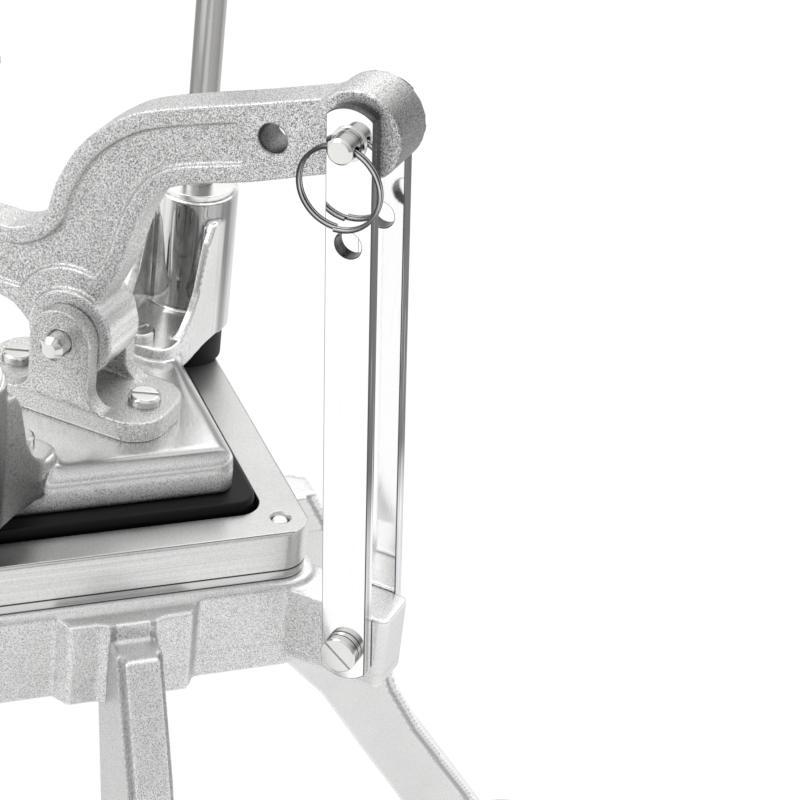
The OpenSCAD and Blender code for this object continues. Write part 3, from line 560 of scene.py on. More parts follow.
class Shop:
    """Makes finished pieces from CAD nodes and from new meshes."""

    # Corners nearer than this become one, and faces that meet flatter than this (radians) are joined
    weld: float = 2e-6
    flat_angle: float = 0.008
    # Edges sharper than this (degrees) are broken, and large faces get this weight in the normals
    least_angle: float = 32.0
    face_weight: int = 80

    def __init__(self, record: dict) -> None:
        """Reads bodies and slots from the record and makes the materials."""
        bodies = record["behaviour"]["bodies"]
        self.body_of = {node: body for body, nodes in bodies.items() for node in nodes}
        self.slot_of = {part["node"]: part["material_slot"] for part in record["subparts"]}
        self.materials = {name: finish.material() for name, finish in FINISHES.items()}
        self.made: list[str] = []

    @staticmethod
    def evaluated(piece: bpy.types.Object) -> bpy.types.Mesh:
        """The piece's mesh after its modifiers; the object itself is removed."""
        graph = bpy.context.evaluated_depsgraph_get()
        mesh = bpy.data.meshes.new_from_object(piece.evaluated_get(graph), depsgraph=graph,
                                               preserve_all_data_layers=True)
        bpy.data.objects.remove(piece)
        return mesh

    @classmethod
    def merged(cls, node: str) -> bpy.types.Mesh:
        """A copy of a CAD node's mesh with shared corners and faces that look outwards."""
        mesh = frame["nodes"][node].data.copy()
        work = bmesh.new()
        work.from_mesh(mesh)
        bmesh.ops.remove_doubles(work, verts=work.verts, dist=cls.weld)
        bmesh.ops.recalc_face_normals(work, faces=work.faces)
        work.to_mesh(mesh)
        work.free()
        mesh.materials.clear()
        return mesh

    @staticmethod
    def points_of(mesh: bpy.types.Mesh) -> tuple[Array, Array]:
        """The mesh's points, counted from the cutting axis, and its normals."""
        points, normals = (np.empty(len(mesh.vertices) * 3, np.float32) for _ in range(2))
        mesh.vertices.foreach_get("co", points)
        mesh.vertices.foreach_get("normal", normals)
        axis = np.array((AXIS_X, 0.0, 0.0), np.float32)
        return points.reshape(-1, 3) - axis, normals.reshape(-1, 3)

    def mark(self, piece: bpy.types.Object, mark: Mark, rule: Rule) -> None:
        """Stores a number at each point of a piece for its material to read.

        Args:
            piece: The finished piece.
            mark: The mark that the number is for.
            rule: Gives the numbers from the points and the normals.
        """
        layer = piece.data.attributes.new(mark.value, "FLOAT", "POINT")
        layer.data.foreach_set("value", rule(*self.points_of(piece.data)).astype(np.float32))

    @staticmethod
    def triangles(mesh: bpy.types.Mesh) -> int:
        """How many triangles the mesh has."""
        return sum(len(face.vertices) - 2 for face in mesh.polygons)

    def show(self, mesh: bpy.types.Mesh, node: str, finish: str | None = None,
             second: str | None = None) -> bpy.types.Object:
        """Puts a finished mesh in the place of a CAD node.

        Args:
            mesh: The finished mesh, in place.
            node: The node that it stands for.
            finish: Name of the finish; the node's own slot if none is given.
            second: Finish of the faces with material index 1.

        Returns:
            The new piece.
        """
        mesh.name = f"{node}_detail"
        mesh.materials.clear()
        mesh.materials.append(self.materials[finish or self.slot_of[node]])
        if second:
            mesh.materials.append(self.materials[second])
        piece = linked(mesh, mesh.name)
        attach(piece, self.body_of[node])
        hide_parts(node)
        self.made.append(node)
        log.info("%-26s %7d triangles, body %s", piece.name, self.triangles(mesh),
                 self.body_of[node])
        return piece

    @staticmethod
    def smooth(piece: bpy.types.Object, passes: int, group: str = "") -> None:
        """Smooths a piece, or one vertex group of it, in so many passes."""
        soft = piece.modifiers.new("soft", "SMOOTH")
        soft.factor, soft.iterations, soft.vertex_group = 0.5, passes, group

    def cast(self, node: str, voxel: float, passes: int, finish: str | None = None,
             zone: Rule | None = None, zone_passes: int = 0) -> bpy.types.Object:
        """Gives a casting a soft closed skin with rounded edges.

        Args:
            node: The CAD node.
            voxel: Cell size of the new skin.
            passes: Smoothing passes.
            finish: Name of the finish.
            zone: Points that are rounded further.
            zone_passes: Smoothing passes there.

        Returns:
            The new piece.
        """
        rough = linked(self.merged(node), f"{node}_raw")
        skin = rough.modifiers.new("skin", "REMESH")
        skin.mode = "VOXEL"
        skin.voxel_size = voxel
        skin.use_smooth_shade = True
        self.smooth(rough, passes)
        mesh = self.evaluated(rough)
        count = self.triangles(mesh)
        if count > PIECE_LIMIT:
            dense = linked(mesh, f"{node}_dense")
            fewer = dense.modifiers.new("fewer", "DECIMATE")
            fewer.ratio = PIECE_LIMIT / count
            mesh = self.evaluated(dense)
        if zone:
            part = linked(mesh, f"{node}_part")
            group = part.vertex_groups.new(name="zone")
            group.add(np.flatnonzero(zone(*self.points_of(mesh))).tolist(), 1.0, "REPLACE")
            self.smooth(part, zone_passes, group.name)
            mesh = self.evaluated(part)
        mesh.shade_smooth()
        return self.show(mesh, node, finish)

    def softened(self, node: str, width: float, second: str | None = None, segments: int = 2,
                 clamp: bool = False) -> bpy.types.Object:
        """Breaks a machined piece's edges.

        Args:
            node: The CAD node.
            width: Width of the broken edge.
            second: Finish of the broken edges.
            segments: Steps across an edge.
            clamp: Whether edges may be kept narrower where pieces are small.

        Returns:
            The new piece.
        """
        mesh = self.merged(node)
        work = bmesh.new()
        work.from_mesh(mesh)
        bmesh.ops.dissolve_limit(work, angle_limit=self.flat_angle, verts=work.verts,
                                 edges=work.edges)
        for face in work.faces:
            face.smooth = True
        work.to_mesh(mesh)
        work.free()
        piece = linked(mesh, f"{node}_raw")
        if width:
            edge = piece.modifiers.new("edge", "BEVEL")
            edge.limit_method = "ANGLE"
            edge.angle_limit = math.radians(self.least_angle)
            edge.width = width
            edge.segments = segments
            edge.use_clamp_overlap = clamp
            if second:
                mesh.materials.append(self.materials[self.slot_of[node]])
                mesh.materials.append(self.materials[second])
                edge.material = 1
        normals = piece.modifiers.new("normals", "WEIGHTED_NORMAL")
        normals.weight = self.face_weight
        normals.keep_sharp = True
        return self.show(self.evaluated(piece), node, second=second)


def shelf(loops: list[Array]) -> bmesh.types.BMesh:
    """A skin through loops of equal length, capped at both ends.

    Args:
        loops: Arrays of points, from the lowest loop to the highest, counter-clockwise from above.

    Returns:
        The new mesh data.
    """
    work = bmesh.new()
    rings = [[work.verts.new(p) for p in loop] for loop in loops]
    size = len(rings[0])
    for low, high in zip(rings, rings[1:]):
        for k in range(size):
            work.faces.new((low[k], low[(k + 1) % size], high[(k + 1) % size], high[k]))
    work.faces.new(list(reversed(rings[0])))
    work.faces.new(rings[-1])
    for face in work.faces:
        face.smooth = len(face.verts) == 4
    return work


def rounded_square(side: float, radius: float) -> Array:
    """Outline of a square with rounded corners that stands on its corner.

    Args:
        side: Side of the square.
        radius: Corner radius.

    Returns:
        Points about the cutting axis, counter-clockwise.
    """
    corner_steps, side_steps, quarter = 12, 16, math.pi / 2
    centre = (side / 2 - radius) * math.sqrt(2)

    def at(middle: float, share: float) -> Array:
        """A point on the corner at that bearing, share -0.5 to 0.5 from its start to its end."""
        a = middle + quarter * share
        return np.array((centre * math.cos(middle) + radius * math.cos(a),
                         centre * math.sin(middle) + radius * math.sin(a)))

    points = []
    for middle in (quarter * corner for corner in range(4)):
        points += [at(middle, k / corner_steps - 0.5) for k in range(corner_steps + 1)]
        start, end = points[-1], at(middle + quarter, -0.5)
        points += [start + (end - start) * (k / side_steps) for k in range(1, side_steps)]
    return np.array(points)


# Geometry Nodes recipes


class Recipe:
    """A Geometry Nodes group with named inputs."""

    def __init__(self, name: str, inputs: dict[str, str]) -> None:
        """Makes the group.

        Args:
            name: The group's name.
            inputs: Kind of socket for each input's name.
        """
        self.tree = bpy.data.node_groups.new(name, "GeometryNodeTree")
        new = self.tree.interface.new_socket
        new("Geometry", in_out="INPUT", socket_type="NodeSocketGeometry")
        self.keys = {label: new(label, in_out="INPUT", socket_type=f"NodeSocket{kind}").identifier
                     for label, kind in inputs.items()}
        new("Geometry", in_out="OUTPUT", socket_type="NodeSocketGeometry")
        self.graph = Graph(self.tree)
        self.entry = self.graph.node("NodeGroupInput")
        self.exit = self.graph.node("NodeGroupOutput")

    def given(self, label: str) -> Sock:
        """The group's input of that name."""
        return Sock(self.graph, Graph.find(self.entry.outputs, label))

    def finish(self, geometry: Sock) -> None:
        """Realizes the geometry, gives it its material and ends the group."""
        g = self.graph
        real = g.value("GeometryNodeRealizeInstances", inputs={0: geometry})
        coloured = g.value("GeometryNodeSetMaterial",
                           inputs={"Geometry": real, "Material": self.given("Material")})
        g.feed(self.exit, 0, coloured)

    def copies(self, points: Sock) -> None:
        """Sets the pattern object on each point and ends the group."""
        g = self.graph
        pattern = g.value("GeometryNodeObjectInfo", out="Geometry",
                          inputs={"Object": self.given("Pattern"), "As Instance": True})
        self.finish(g.value("GeometryNodeInstanceOnPoints",
                            inputs={"Points": points, "Instance": pattern}))

    def run(self, values: dict[str, object]) -> bpy.types.Mesh:
        """Runs the group once.

        Args:
            values: A value for each named input.

        Returns:
            The mesh that it makes.
        """
        holder = linked(bpy.data.meshes.new("empty"), "recipe_holder")
        step = holder.modifiers.new("recipe", "NODES")
        step.node_group = self.tree
        for label, value in values.items():
            step[self.keys[label]] = value
        return Shop.evaluated(holder)


# Inputs of a recipe that copies a pattern object: how many, how far apart and in which material
COPY_INPUTS = {"Pattern": "Object", "Count": "Int", "Pitch": "Float", "Material": "Material"}


def blade_recipe() -> Recipe:
    """Copies one blade along a line that is centred on the origin."""
    recipe = Recipe("blade_row", COPY_INPUTS)
    g, count, pitch = recipe.graph, recipe.given("Count"), recipe.given("Pitch")
    step = g.value("ShaderNodeCombineXYZ", inputs={"X": pitch})
    start = g.value("ShaderNodeCombineXYZ", inputs={"X": (1.0 - count) * pitch * 0.5})
    recipe.copies(g.value("GeometryNodeMeshLine", {"mode": "OFFSET"},
                          {"Count": count, "Start Location": start, "Offset": step}))
    return recipe


def finger_recipe() -> Recipe:
    """Copies one finger on a square grid that is centred on the origin."""
    recipe = Recipe("finger_grid", COPY_INPUTS)
    count = recipe.given("Count")
    size = (count - 1.0) * recipe.given("Pitch")
    recipe.copies(recipe.graph.value("GeometryNodeMeshGrid", inputs={
        "Size X": size, "Size Y": size, "Vertices X": count, "Vertices Y": count}))
    return recipe


def ring_recipe() -> Recipe:
    """Winds a flat wire with rounded corners into close loops about Z."""
    recipe = Recipe("split_ring", {"Radius": "Float", "Pitch": "Float", "Loops": "Int",
                                   "Steps": "Int", "Across": "Float", "Along": "Float",
                                   "Material": "Material"})
    g = recipe.graph
    radius, pitch, loops, steps, across, along = (
        recipe.given(label) for label in ("Radius", "Pitch", "Loops", "Steps", "Across", "Along"))
    line = g.value("GeometryNodeMeshLine", {"mode": "OFFSET"},
                   {"Count": loops * steps + 1.0, "Offset": (0.0, 0.0, 0.001)})
    turns = g.value("GeometryNodeInputIndex") / steps
    angle = turns * (2 * math.pi) - math.pi / 2
    place = g.value("ShaderNodeCombineXYZ", inputs={"X": g.math("COSINE", angle, 0.0) * radius,
                                                    "Y": g.math("SINE", angle, 0.0) * radius,
                                                    "Z": (turns - loops * 0.5) * pitch})
    moved = g.value("GeometryNodeSetPosition", inputs={"Geometry": line, "Position": place})
    path = g.value("GeometryNodeMeshToCurve", inputs={0: moved})
    upright = g.value("GeometryNodeSetCurveNormal", {"mode": "Z_UP"}, {0: path})
    section = g.value("GeometryNodeCurvePrimitiveQuadrilateral", {"mode": "RECTANGLE"},
                      {"Width": across, "Height": along})
    rounded = g.value("GeometryNodeFilletCurve", {"mode": "POLY"},
                      {"Curve": section, "Count": 3, "Radius": along * 0.32})
    wire = g.value("GeometryNodeCurveToMesh",
                   inputs={"Curve": upright, "Profile Curve": rounded, "Fill Caps": True})
    recipe.finish(g.value("GeometryNodeSetShadeSmooth", inputs={0: wire}))
    return recipe


# Sub-assemblies


def turned_about_axis(z: float, turn: float) -> Matrix:
    """Moves to the cutting axis at a height and turns about it, in degrees."""
    return Matrix.Translation((AXIS_X, 0.0, z)) @ Matrix.Rotation(math.radians(turn), 4, "Z")


@dataclass
class BladeCartridge:
    """Two crossed rows of ground blades in their holder."""

    shop: Shop
    count: int = 9
    pitch: float = 9.6 * MM
    thickness: float = 0.8 * MM
    height: float = 9.0 * MM
    span: float = 102.0 * MM
    edge: float = 2.2 * MM

    def blade(self) -> bpy.types.Object:
        """One strip with a ground cutting edge on top, lengthways along Y."""
        half, tip = self.thickness / 2, self.thickness * 0.08
        section = [(-half, 0.0), (half, 0.0), (half, self.height - self.edge), (tip, self.height),
                   (-tip, self.height), (-half, self.height - self.edge)]
        ends = [np.array([(x, s * self.span / 2, z) for x, z in section]) for s in (-1, 1)]
        work = shelf(ends)
        bmesh.ops.recalc_face_normals(work, faces=work.faces)
        for face in work.faces:
            face.smooth = False
        return linked(mesh_from(work, "blade"), "blade_pattern")

    def build(self) -> None:
        """Sets both rows into the holder."""
        recipe = blade_recipe()
        for node, turn in (("upper_blades", 45.0), ("lower_blades", 135.0)):
            pattern = self.blade()
            mesh = recipe.run({"Pattern": pattern, "Count": self.count, "Pitch": self.pitch,
                               "Material": self.shop.materials[Slot.BLADE.value]})
            bpy.data.objects.remove(pattern)
            low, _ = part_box(node)
            mesh.transform(turned_about_axis(low.z, turn))
            self.shop.show(mesh, node)
        self.shop.softened("blade_holder", 0.25 * MM, clamp=True)


@dataclass
class BaseFrame:
    """Cast base on four legs with the machined frame, its studs, rods, bumpers and feet."""

    shop: Shop
    leg_start: float = 79.0 * MM
    leg_half: float = 6.6 * MM
    leg_bevel: float = 2.6 * MM
    small: tuple[str, ...] = ("stud_washers", "stud_nuts", "rod_washers", "rod_nuts",
                              "stop_washers", "foot_screws", "foot_nuts", "frame_studs")

    @staticmethod
    def smooth_parts(points: Array, normals: Array) -> Array:
        """Up-facing ledges and the leg on the far right, where the casting is smoother."""
        leg = ramp(points[:, 0] + points[:, 1], 110.0 * MM, 130.0 * MM)
        return np.maximum(0.7 * ramp(normals[:, 2], 0.4, 0.8), leg)

    def leg_fronts(self, points: Array, normals: Array, rims: bool = False) -> Array:
        """Marks the outer faces of the four legs, or the bevels beside them.

        Args:
            points: Points counted from the cutting axis.
            normals: Their normals.
            rims: Whether the bevels are meant.

        Returns:
            1 where the point is meant and 0 elsewhere.
        """
        flat = np.abs(points[:, :2])
        out = flat.sum(axis=1) / math.sqrt(2)
        side = np.abs(flat[:, 0] - flat[:, 1]) / math.sqrt(2)
        facing = (normals[:, :2] * np.sign(points[:, :2])).sum(axis=1) / math.sqrt(2)
        across = side >= self.leg_half if rims else side < self.leg_half
        near = (out > self.leg_start) & (side < self.leg_half + self.leg_bevel)
        return (near & across & (facing > 0.25)).astype(np.float32)

    def leg_bevel_shade(self, points: Array, normals: Array) -> Array:
        """How much painted shade darkens the bevels beside the legs' outer faces."""
        return 0.45 * self.leg_fronts(points, normals, rims=True)

    @staticmethod
    def top_shade(points: Array, normals: Array) -> Array:
        """How much painted shade darkens the upper frame's top face."""
        return 0.24 * ramp(normals[:, 2], 0.6, 0.9)

    @staticmethod
    def rod_painted_reflections(points: Array, normals: Array) -> Array:
        """Painted reflections: dark streaks up the guide rods."""
        return np.interp(across_photo(normals),
                         (-1.0, -0.85, -0.6, -0.4, -0.2, 0.0, 0.25, 0.5, 0.72, 0.86, 1.0),
                         (0.75, 0.65, 0.25, 0.1, 0.0, 0.15, 0.4, 0.5, 0.62, 0.3, 0.2))

    def build(self) -> None:
        """Makes the base body's pieces."""
        casting = self.shop.cast("base_casting", voxel=0.9 * MM, passes=5, finish="base_aluminium")
        self.shop.mark(casting, Mark.COARSE, self.leg_fronts)
        self.shop.mark(casting, Mark.DARK, self.leg_bevel_shade)
        self.shop.mark(casting, Mark.SATIN, self.smooth_parts)
        top = self.shop.softened("upper_frame", 0.45 * MM, segments=3)
        self.shop.mark(top, Mark.DARK, self.top_shade)
        self.shop.softened("pivot_shank", 0.2 * MM)
        for side in ("left", "right"):
            rod = self.shop.softened(f"{side}_guide_rod", 0.4 * MM)
            self.shop.mark(rod, Mark.DARK, self.rod_painted_reflections)
            self.shop.softened(f"{side}_bumper", 0.8 * MM, segments=4)
        self.shop.softened("cap_nuts", 0.4 * MM, clamp=True)
        self.shop.softened("rubber_feet", 0.8 * MM, segments=3)
        for node in self.small:
            self.shop.softened(node, 0.2 * MM, clamp=True)


@dataclass
class Pusher:
    """Cast head on its guides with the clevis bracket and the black pusher block."""

    shop: Shop
    block_side: float = 113.6 * MM
    block_radius: float = 9.15 * MM
    block_edge: float = 1.6 * MM
    hollow_radius: float = 15.1 * MM
    rod_offset: float = 89.0 * MM
    boss_radius: float = 17.0 * MM
    finger_pitch: float = 9.6 * MM
    finger_width: float = 7.2 * MM
    finger_count: int = 10
    finger_rim: float = 0.7 * MM
    finger_radius: float = 0.6 * MM
    flange: float = 17.0 * MM
    rim_steps: int = 5
    rim_out: Pair = (58.0 * MM, 71.0 * MM)
    rim_high: Pair = (FRAME_TOP + 13.0 * MM, FRAME_TOP + 22.4 * MM)

    def outline(self, inset: float) -> Array:
        """The block's outline moved inwards, with its two hollows for the bumpers."""
        points = rounded_square(self.block_side - 2 * inset, max(self.block_radius - inset, 1 * MM))
        for side in Side:
            centre = np.array((0.0, side.value * self.rod_offset))
            away = points - centre
            gap = np.linalg.norm(away, axis=1)
            radius = self.hollow_radius + inset
            inside = gap < radius
            points[inside] = centre + away[inside] / gap[inside][:, None] * radius
        return points

    def block(self) -> None:
        """The black flange with a rounded rim and its grid of fingers."""
        low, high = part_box("pusher_block")
        shoulder = high.z - self.flange
        arc = [math.radians(90 * k / self.rim_steps) for k in range(self.rim_steps + 1)]
        edge = self.block_edge
        curve = [(edge * (1 - math.sin(a)), edge * (1 - math.cos(a))) for a in arc]
        levels = [(inset, shoulder + rise) for inset, rise in curve]
        levels += [(inset, high.z - rise) for inset, rise in reversed(curve)]
        loops = []
        for inset, z in levels:
            flat = self.outline(inset)
            loops.append(np.column_stack([flat[:, 0] + AXIS_X, flat[:, 1], np.full(len(flat), z)]))
        flange = mesh_from(shelf(loops), "flange")
        finger = self.finger(shoulder - low.z + 1.0 * MM)
        grid = finger_recipe().run({"Pattern": finger, "Count": self.finger_count,
                                    "Pitch": self.finger_pitch,
                                    "Material": self.shop.materials[Slot.PLASTIC.value]})
        bpy.data.objects.remove(finger)
        grid.transform(turned_about_axis(low.z, 45.0))
        work = bmesh.new()
        work.from_mesh(flange)
        work.from_mesh(grid)
        self.shop.show(mesh_from(work, "block"), "pusher_block")

    def finger(self, length: float) -> bpy.types.Object:
        """One finger with softened edges and a chamfered tip, from z 0 upwards."""
        half, rim, r = self.finger_width / 2, self.finger_rim, self.finger_radius
        loops = []
        for inset, z in ((rim, 0.0), (rim * 0.3, rim * 0.3), (0.0, rim), (0.0, length)):
            s, ring = half - inset - r, []
            for corner, (x, y) in enumerate(((1, 1), (-1, 1), (-1, -1), (1, -1))):
                for k in range(4):
                    a = math.radians(90 * corner + 30 * k)
                    ring.append((x * s + r * math.cos(a), y * s + r * math.sin(a), z))
            loops.append(np.array(ring))
        return linked(mesh_from(shelf(loops), "finger"), "finger_pattern")

    def head(self) -> None:
        """The head's skin, marked where its top and guide bosses are smoother than its walls,
        and where painted shade and reflections darken it.
        """
        piece = self.shop.cast("pusher_head", voxel=0.75 * MM, passes=7, zone=self.rim,
                               zone_passes=45)
        self.shop.mark(piece, Mark.SATIN, self.smooth_parts)
        self.shop.mark(piece, Mark.BOSS, self.burnish_and_painted_streaks)
        self.shop.mark(piece, Mark.DARK, self.painted_shade_and_reflections)

    def rim(self, points: Array, normals: Array) -> Array:
        """True on the upper edge of the head's plate."""
        out, high = np.abs(points[:, 0]) + np.abs(points[:, 1]), points[:, 2]
        return ((out > self.rim_out[0]) & (out < self.rim_out[1])
                & (high > self.rim_high[0]) & (high < self.rim_high[1]))

    def reach(self, points: Array) -> Array:
        """Distance from the axis of the nearer guide boss."""
        return np.hypot(points[:, 0], np.abs(points[:, 1]) - self.rod_offset)

    def smooth_parts(self, points: Array, normals: Array) -> Array:
        """1 on the head's top and round the left guide boss."""
        beside = ramp(self.reach(points), 36.0 * MM, 31.0 * MM) * (points[:, 1] > 0)
        return np.maximum.reduce([ramp(normals[:, 2], 0.25, 0.75), beside,
                                  0.8 * self.rim(points, normals)])

    def burnish_and_painted_streaks(self, points: Array, normals: Array) -> Array:
        """1 on the left guide boss, with less on the right one: burnish and painted reflection
        streaks.
        """
        wall = ramp(self.reach(points) - self.boss_radius, 2.0 * MM, 0.5 * MM)
        return wall * np.where(points[:, 1] > 0, 1.0, 0.2)

    def painted_shade_and_reflections(self, points: Array, normals: Array) -> Array:
        """Painted reflection streaks up the left guide boss; painted shade on the right one, the right
        corner and round the left ribs; painted shade lines along the plate's rim.
        """
        left, reach = points[:, 1] > 0, self.reach(points)
        round_wall = ramp(reach - self.boss_radius, 1.2 * MM, 0.2 * MM)
        upright = ramp(np.abs(normals[:, 2]), 0.6, 0.3)
        streaks = np.interp(across_photo(normals),
                            (-1.0, -0.66, -0.5, 0.05, 0.2, 0.5, 0.62, 0.8, 0.9),
                            (0.3, 0.05, 0.75, 0.85, 0.5, 0.35, 0.75, 0.7, 0.1))
        lines = np.interp(normals[:, 2], (0.02, 0.08, 0.2, 0.3, 0.62, 0.80, 0.985, 0.999),
                          (0.0, 0.6, 0.4, 0.0, 0.0, 0.6, 0.75, 0.0))
        lines = lines * self.rim(points, normals) * (np.abs(points[:, 1]) < 56.0 * MM)
        right_corner_shade = 0.6 * ramp(points[:, 1], -52.0 * MM, -58.0 * MM)
        left_rib_shade = 0.2 * (left & (reach < 34.0 * MM))
        walls = np.maximum.reduce([round_wall * np.where(left, streaks, 0.75), right_corner_shade,
                                   left_rib_shade])
        return np.maximum(walls * upright, lines)

    def build(self) -> None:
        """Makes the pusher body's pieces."""
        self.head()
        self.block()
        self.shop.cast("clevis_bracket", voxel=0.55 * MM, passes=4, finish="bracket_aluminium")
        for side in ("left", "right"):
            self.shop.softened(f"{side}_guide_bushing", 0.4 * MM, segments=3)
        for node in ("block_screws", "bracket_screws"):
            self.shop.softened(node, 0.22 * MM)
        self.shop.softened("clevis_pin", 0.25 * MM, clamp=True)
        self.shop.softened("clevis_pin_washer", 0.25 * MM)


@dataclass
class Lever:
    """The cast lever with its bushings and grip."""

    shop: Shop
    hole: Pair = (75.06 * MM, FRAME_TOP + 160.26 * MM)
    hole_radius: float = 5.5 * MM
    rear: Pair = (108.0 * MM, 0.4263)
    pivot: Pair = (0.0, 0.3105)

    def shaded(self, points: Array, normals: Array) -> Array:
        """How much painted shade darkens the open hole and the outer side of the rear boss."""
        reach = np.hypot(points[:, 0] - self.hole[0], points[:, 2] - self.hole[1])
        hole = ramp(reach - self.hole_radius, 0.9 * MM, 0.2 * MM)
        reach = np.hypot(points[:, 0] - self.rear[0], points[:, 2] - self.rear[1])
        outer = ramp(reach, 13.0 * MM, 16.0 * MM) * (points[:, 0] > self.rear[0] - 4.0 * MM)
        return np.maximum(0.85 * hole, 0.74 * outer * ramp(normals[:, 0], -0.05, 0.75))

    @staticmethod
    def lit(points: Array, normals: Array) -> Array:
        """How much smoother the faces that look up are."""
        return 0.35 * ramp(normals[:, 2], 0.4, 0.8)

    def turned(self, points: Array, normals: Array) -> Array:
        """1 on the turned rim of the pivot boss, with burnish and painted reflection streaks; 0
        elsewhere.
        """
        out = points[:, [0, 2]] - np.array(self.pivot, np.float32)
        reach = np.linalg.norm(out, axis=1)
        along = (out * normals[:, [0, 2]]).sum(axis=1) / np.maximum(reach, MM)
        return ramp(along, 0.8, 0.95) * (reach < 24.0 * MM) * (normals[:, 0] > 0.1)

    def build(self) -> None:
        """Makes the lever body's pieces."""
        arm = self.shop.cast("lever_arm", voxel=0.75 * MM, passes=4)
        self.shop.mark(arm, Mark.DARK, self.shaded)
        self.shop.mark(arm, Mark.BOSS, self.turned)
        self.shop.mark(arm, Mark.SATIN, self.lit)
        self.shop.softened("pivot_bushing", 0.25 * MM)
        self.shop.softened("link_bushing", 0.25 * MM)
        self.shop.softened("handle_grip", 0.0)


@dataclass
class Links:
    """Two polished bars with their quick-release pin and shoulder screw."""

    shop: Shop

    @staticmethod
    def pin_painted_reflections(points: Array, normals: Array) -> Array:
        """Painted reflections: dark streaks along the pin's side that faces the rear."""
        side = np.abs(normals[:, 1]) < 0.5
        rearwards = normals[:, 0] - 0.4 * normals[:, 2]
        return side * np.interp(rearwards, (0.1, 0.35, 0.55, 0.75, 0.9, 1.05),
                                (0.0, 0.2, 0.75, 0.25, 0.8, 0.4))

    def bar(self, side: str) -> None:
        """One bar: mirror faces, darker ground edges darkened further upwards by a painted reflection,
        and broken corners.
        """
        piece = self.shop.softened(f"{side}_link", 0.35 * MM, second="bar_edge")
        piece.data.materials.append(self.shop.materials["bar_bevel"])
        for face in piece.data.polygons:
            across = abs(face.normal.y)
            face.material_index = 0 if across > 0.97 else 1 if across < 0.2 else 2

    def build(self) -> None:
        """Makes the links body's pieces."""
        self.bar("left")
        self.bar("right")
        pin = self.shop.softened("link_pin", 0.25 * MM, clamp=True)
        self.shop.mark(pin, Mark.DARK, self.pin_painted_reflections)
        self.shop.softened("link_pin_washer", 0.25 * MM)
        head = self.shop.softened("pivot_screw_head", 0.25 * MM, clamp=True)
        self.shop.mark(head, Mark.DARK, self.pin_painted_reflections)
        self.shop.softened("pivot_nut", 0.3 * MM, clamp=True)


@dataclass
class SplitRings:
    """The loose split rings in the pins' cross holes."""

    shop: Shop
    radius: float = 15.7 * MM
    pitch: float = 1.5 * MM
    across: float = 1.6 * MM
    along: float = 1.0 * MM
    loops: int = 2
    steps: int = 96
    recipe: Recipe = field(default_factory=ring_recipe)

    def build(self) -> None:
        """Winds both rings and hangs them where the CAD rings hang."""
        for node, flip in (("link_ring", Side.LEFT), ("clevis_ring", Side.RIGHT)):
            mesh = self.recipe.run({"Radius": self.radius, "Pitch": self.pitch,
                                    "Loops": self.loops, "Steps": self.steps,
                                    "Across": self.across, "Along": self.along,
                                    "Material": self.shop.materials[Slot.RING.value]})
            low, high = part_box(node)
            centre = (low + high) / 2
            mesh.transform(Matrix(((1, 0, 0, centre.x), (0, 0, flip.value, centre.y),
                                   (0, 1, 0, centre.z), (0, 0, 0, 1))))
            if flip is Side.LEFT:
                mesh.flip_normals()
            self.shop.show(mesh, node)


# Studio


@dataclass(frozen=True)
class Softbox:
    """One square soft light: its place, side and power in watts."""

    name: str
    place: Triple
    size: float
    power: float

    def build(self, target: Vector) -> None:
        """Adds the light, aimed at the target."""
        data = bpy.data.lights.new(self.name, "AREA")
        data.shape, data.size, data.energy = "SQUARE", self.size, self.power
        light = linked(data, self.name)
        light.rotation_euler = (target - Vector(self.place)).to_track_quat("-Z", "Y").to_euler()
        light.location = self.place


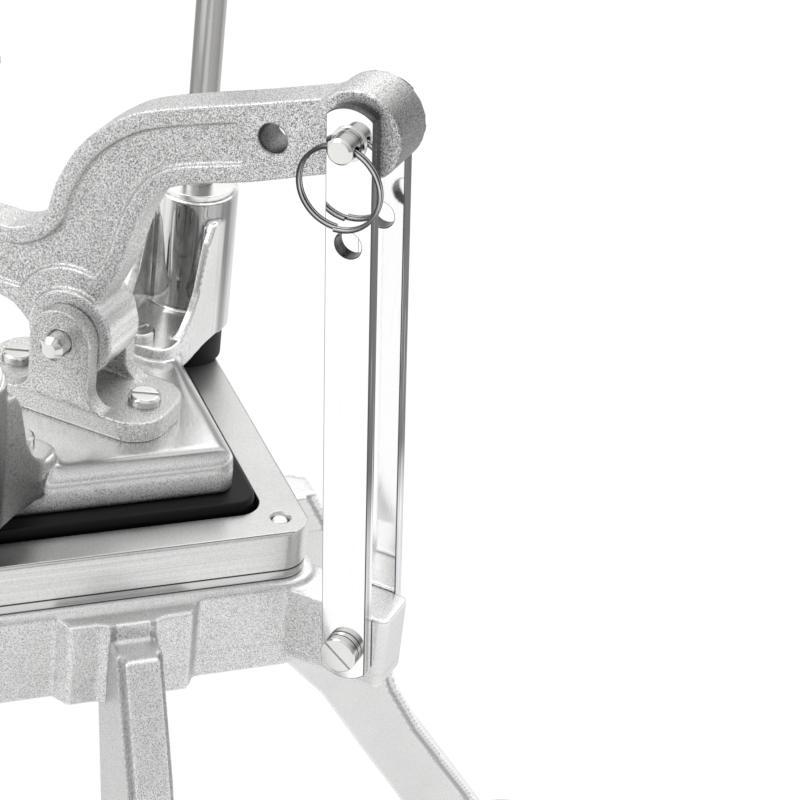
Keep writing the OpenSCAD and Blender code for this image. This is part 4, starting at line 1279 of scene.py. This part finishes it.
@dataclass
class Studio:
    """Pale floor, soft lights and the camera that took the photograph."""

    lens: float = 128.07
    azimuth: float = 20.8699
    elevation: float = 31.5438
    roll: float = 7.0598
    position: Triple = (0.49625, -0.82565, 0.86433)
    sensor: float = 36.0
    view_depth: Pair = (0.05, 60.0)
    floor_half: float = 9.0
    lights: tuple[Softbox, ...] = (Softbox("key_light", (-1.1, -0.9, 1.7), 1.3, 9.0),
                                   Softbox("top_light", (0.0, 1.0, 1.9), 1.5, 7.0))
    target: Triple = (0.03, 0.0, 0.3)
    room_toward: Triple = (-0.40, 0.42, 0.82)
    room_dim: Triple = (0.36, 0.36, 0.37)
    room_bright: Triple = (0.96, 0.96, 0.96)

    def camera(self) -> None:
        """Sets the camera fitted to the photograph."""
        az, el, roll = (math.radians(a) for a in (self.azimuth, self.elevation, self.roll))
        back = Vector((math.sin(az) * math.cos(el), -math.cos(az) * math.cos(el), math.sin(el)))
        right = Vector((math.cos(az), math.sin(az), 0.0))
        up = back.cross(right)
        across = math.cos(roll) * right + math.sin(roll) * up
        above = -math.sin(roll) * right + math.cos(roll) * up
        data = bpy.data.cameras.new("photo_camera")
        data.sensor_width, data.lens = self.sensor, self.lens
        data.clip_start, data.clip_end = self.view_depth
        camera = linked(data, "photo_camera")
        turned = Matrix((across, above, back)).transposed().to_4x4()
        camera.matrix_world = Matrix.Translation(self.position) @ turned
        bpy.context.scene.camera = camera

    def floor(self) -> None:
        """Lays the pale floor."""
        mesh = bpy.data.meshes.new("floor")
        r = self.floor_half
        mesh.from_pydata([(-r, -r, 0), (r, -r, 0), (r, r, 0), (-r, r, 0)], [], [(0, 1, 2, 3)])
        mesh.materials.append(FloorSurface("pale_floor", (0.80, 0.80, 0.80), 0.9).material())
        linked(mesh, "floor")

    def world(self) -> None:
        """White behind the object, and a room light that falls off to the right and low down."""
        world = bpy.data.worlds.new("studio")
        world.use_nodes = True
        bpy.context.scene.world = world
        graph = Graph(world.node_tree)
        sky = next(n for n in world.node_tree.nodes if n.type == "BACKGROUND")
        ray = graph.value("ShaderNodeTexCoord", out="Generated")
        toward = Vector(self.room_toward).normalized()
        facing = graph.value("ShaderNodeVectorMath", {"operation": "DOT_PRODUCT"},
                             {0: ray, 1: toward[:]}, "Value")
        room = graph.blend(graph.remap(facing, -0.7, 0.75), self.room_dim, self.room_bright)
        seen = graph.value("ShaderNodeLightPath", out="Is Camera Ray")
        graph.feed(sky, "Color", graph.blend(seen, room, (1.0, 1.0, 1.0)))
        graph.feed(sky, "Strength", 1.0)

    def build(self) -> None:
        """Sets up everything round the object."""
        self.camera()
        self.floor()
        for light in self.lights:
            light.build(Vector(self.target))
        self.world()
        bpy.context.scene.view_settings.view_transform = "Standard"


def main() -> None:
    """Builds the whole cutter and its studio."""
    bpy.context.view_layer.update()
    Studio().build()
    shop = Shop(frame["record"])
    for maker in (BaseFrame, BladeCartridge, Pusher, Lever, Links, SplitRings):
        maker(shop).build()
    log.info("pieces %d of %d CAD nodes", len(shop.made), len(frame["nodes"]))


if __name__ == "__main__":
    main()
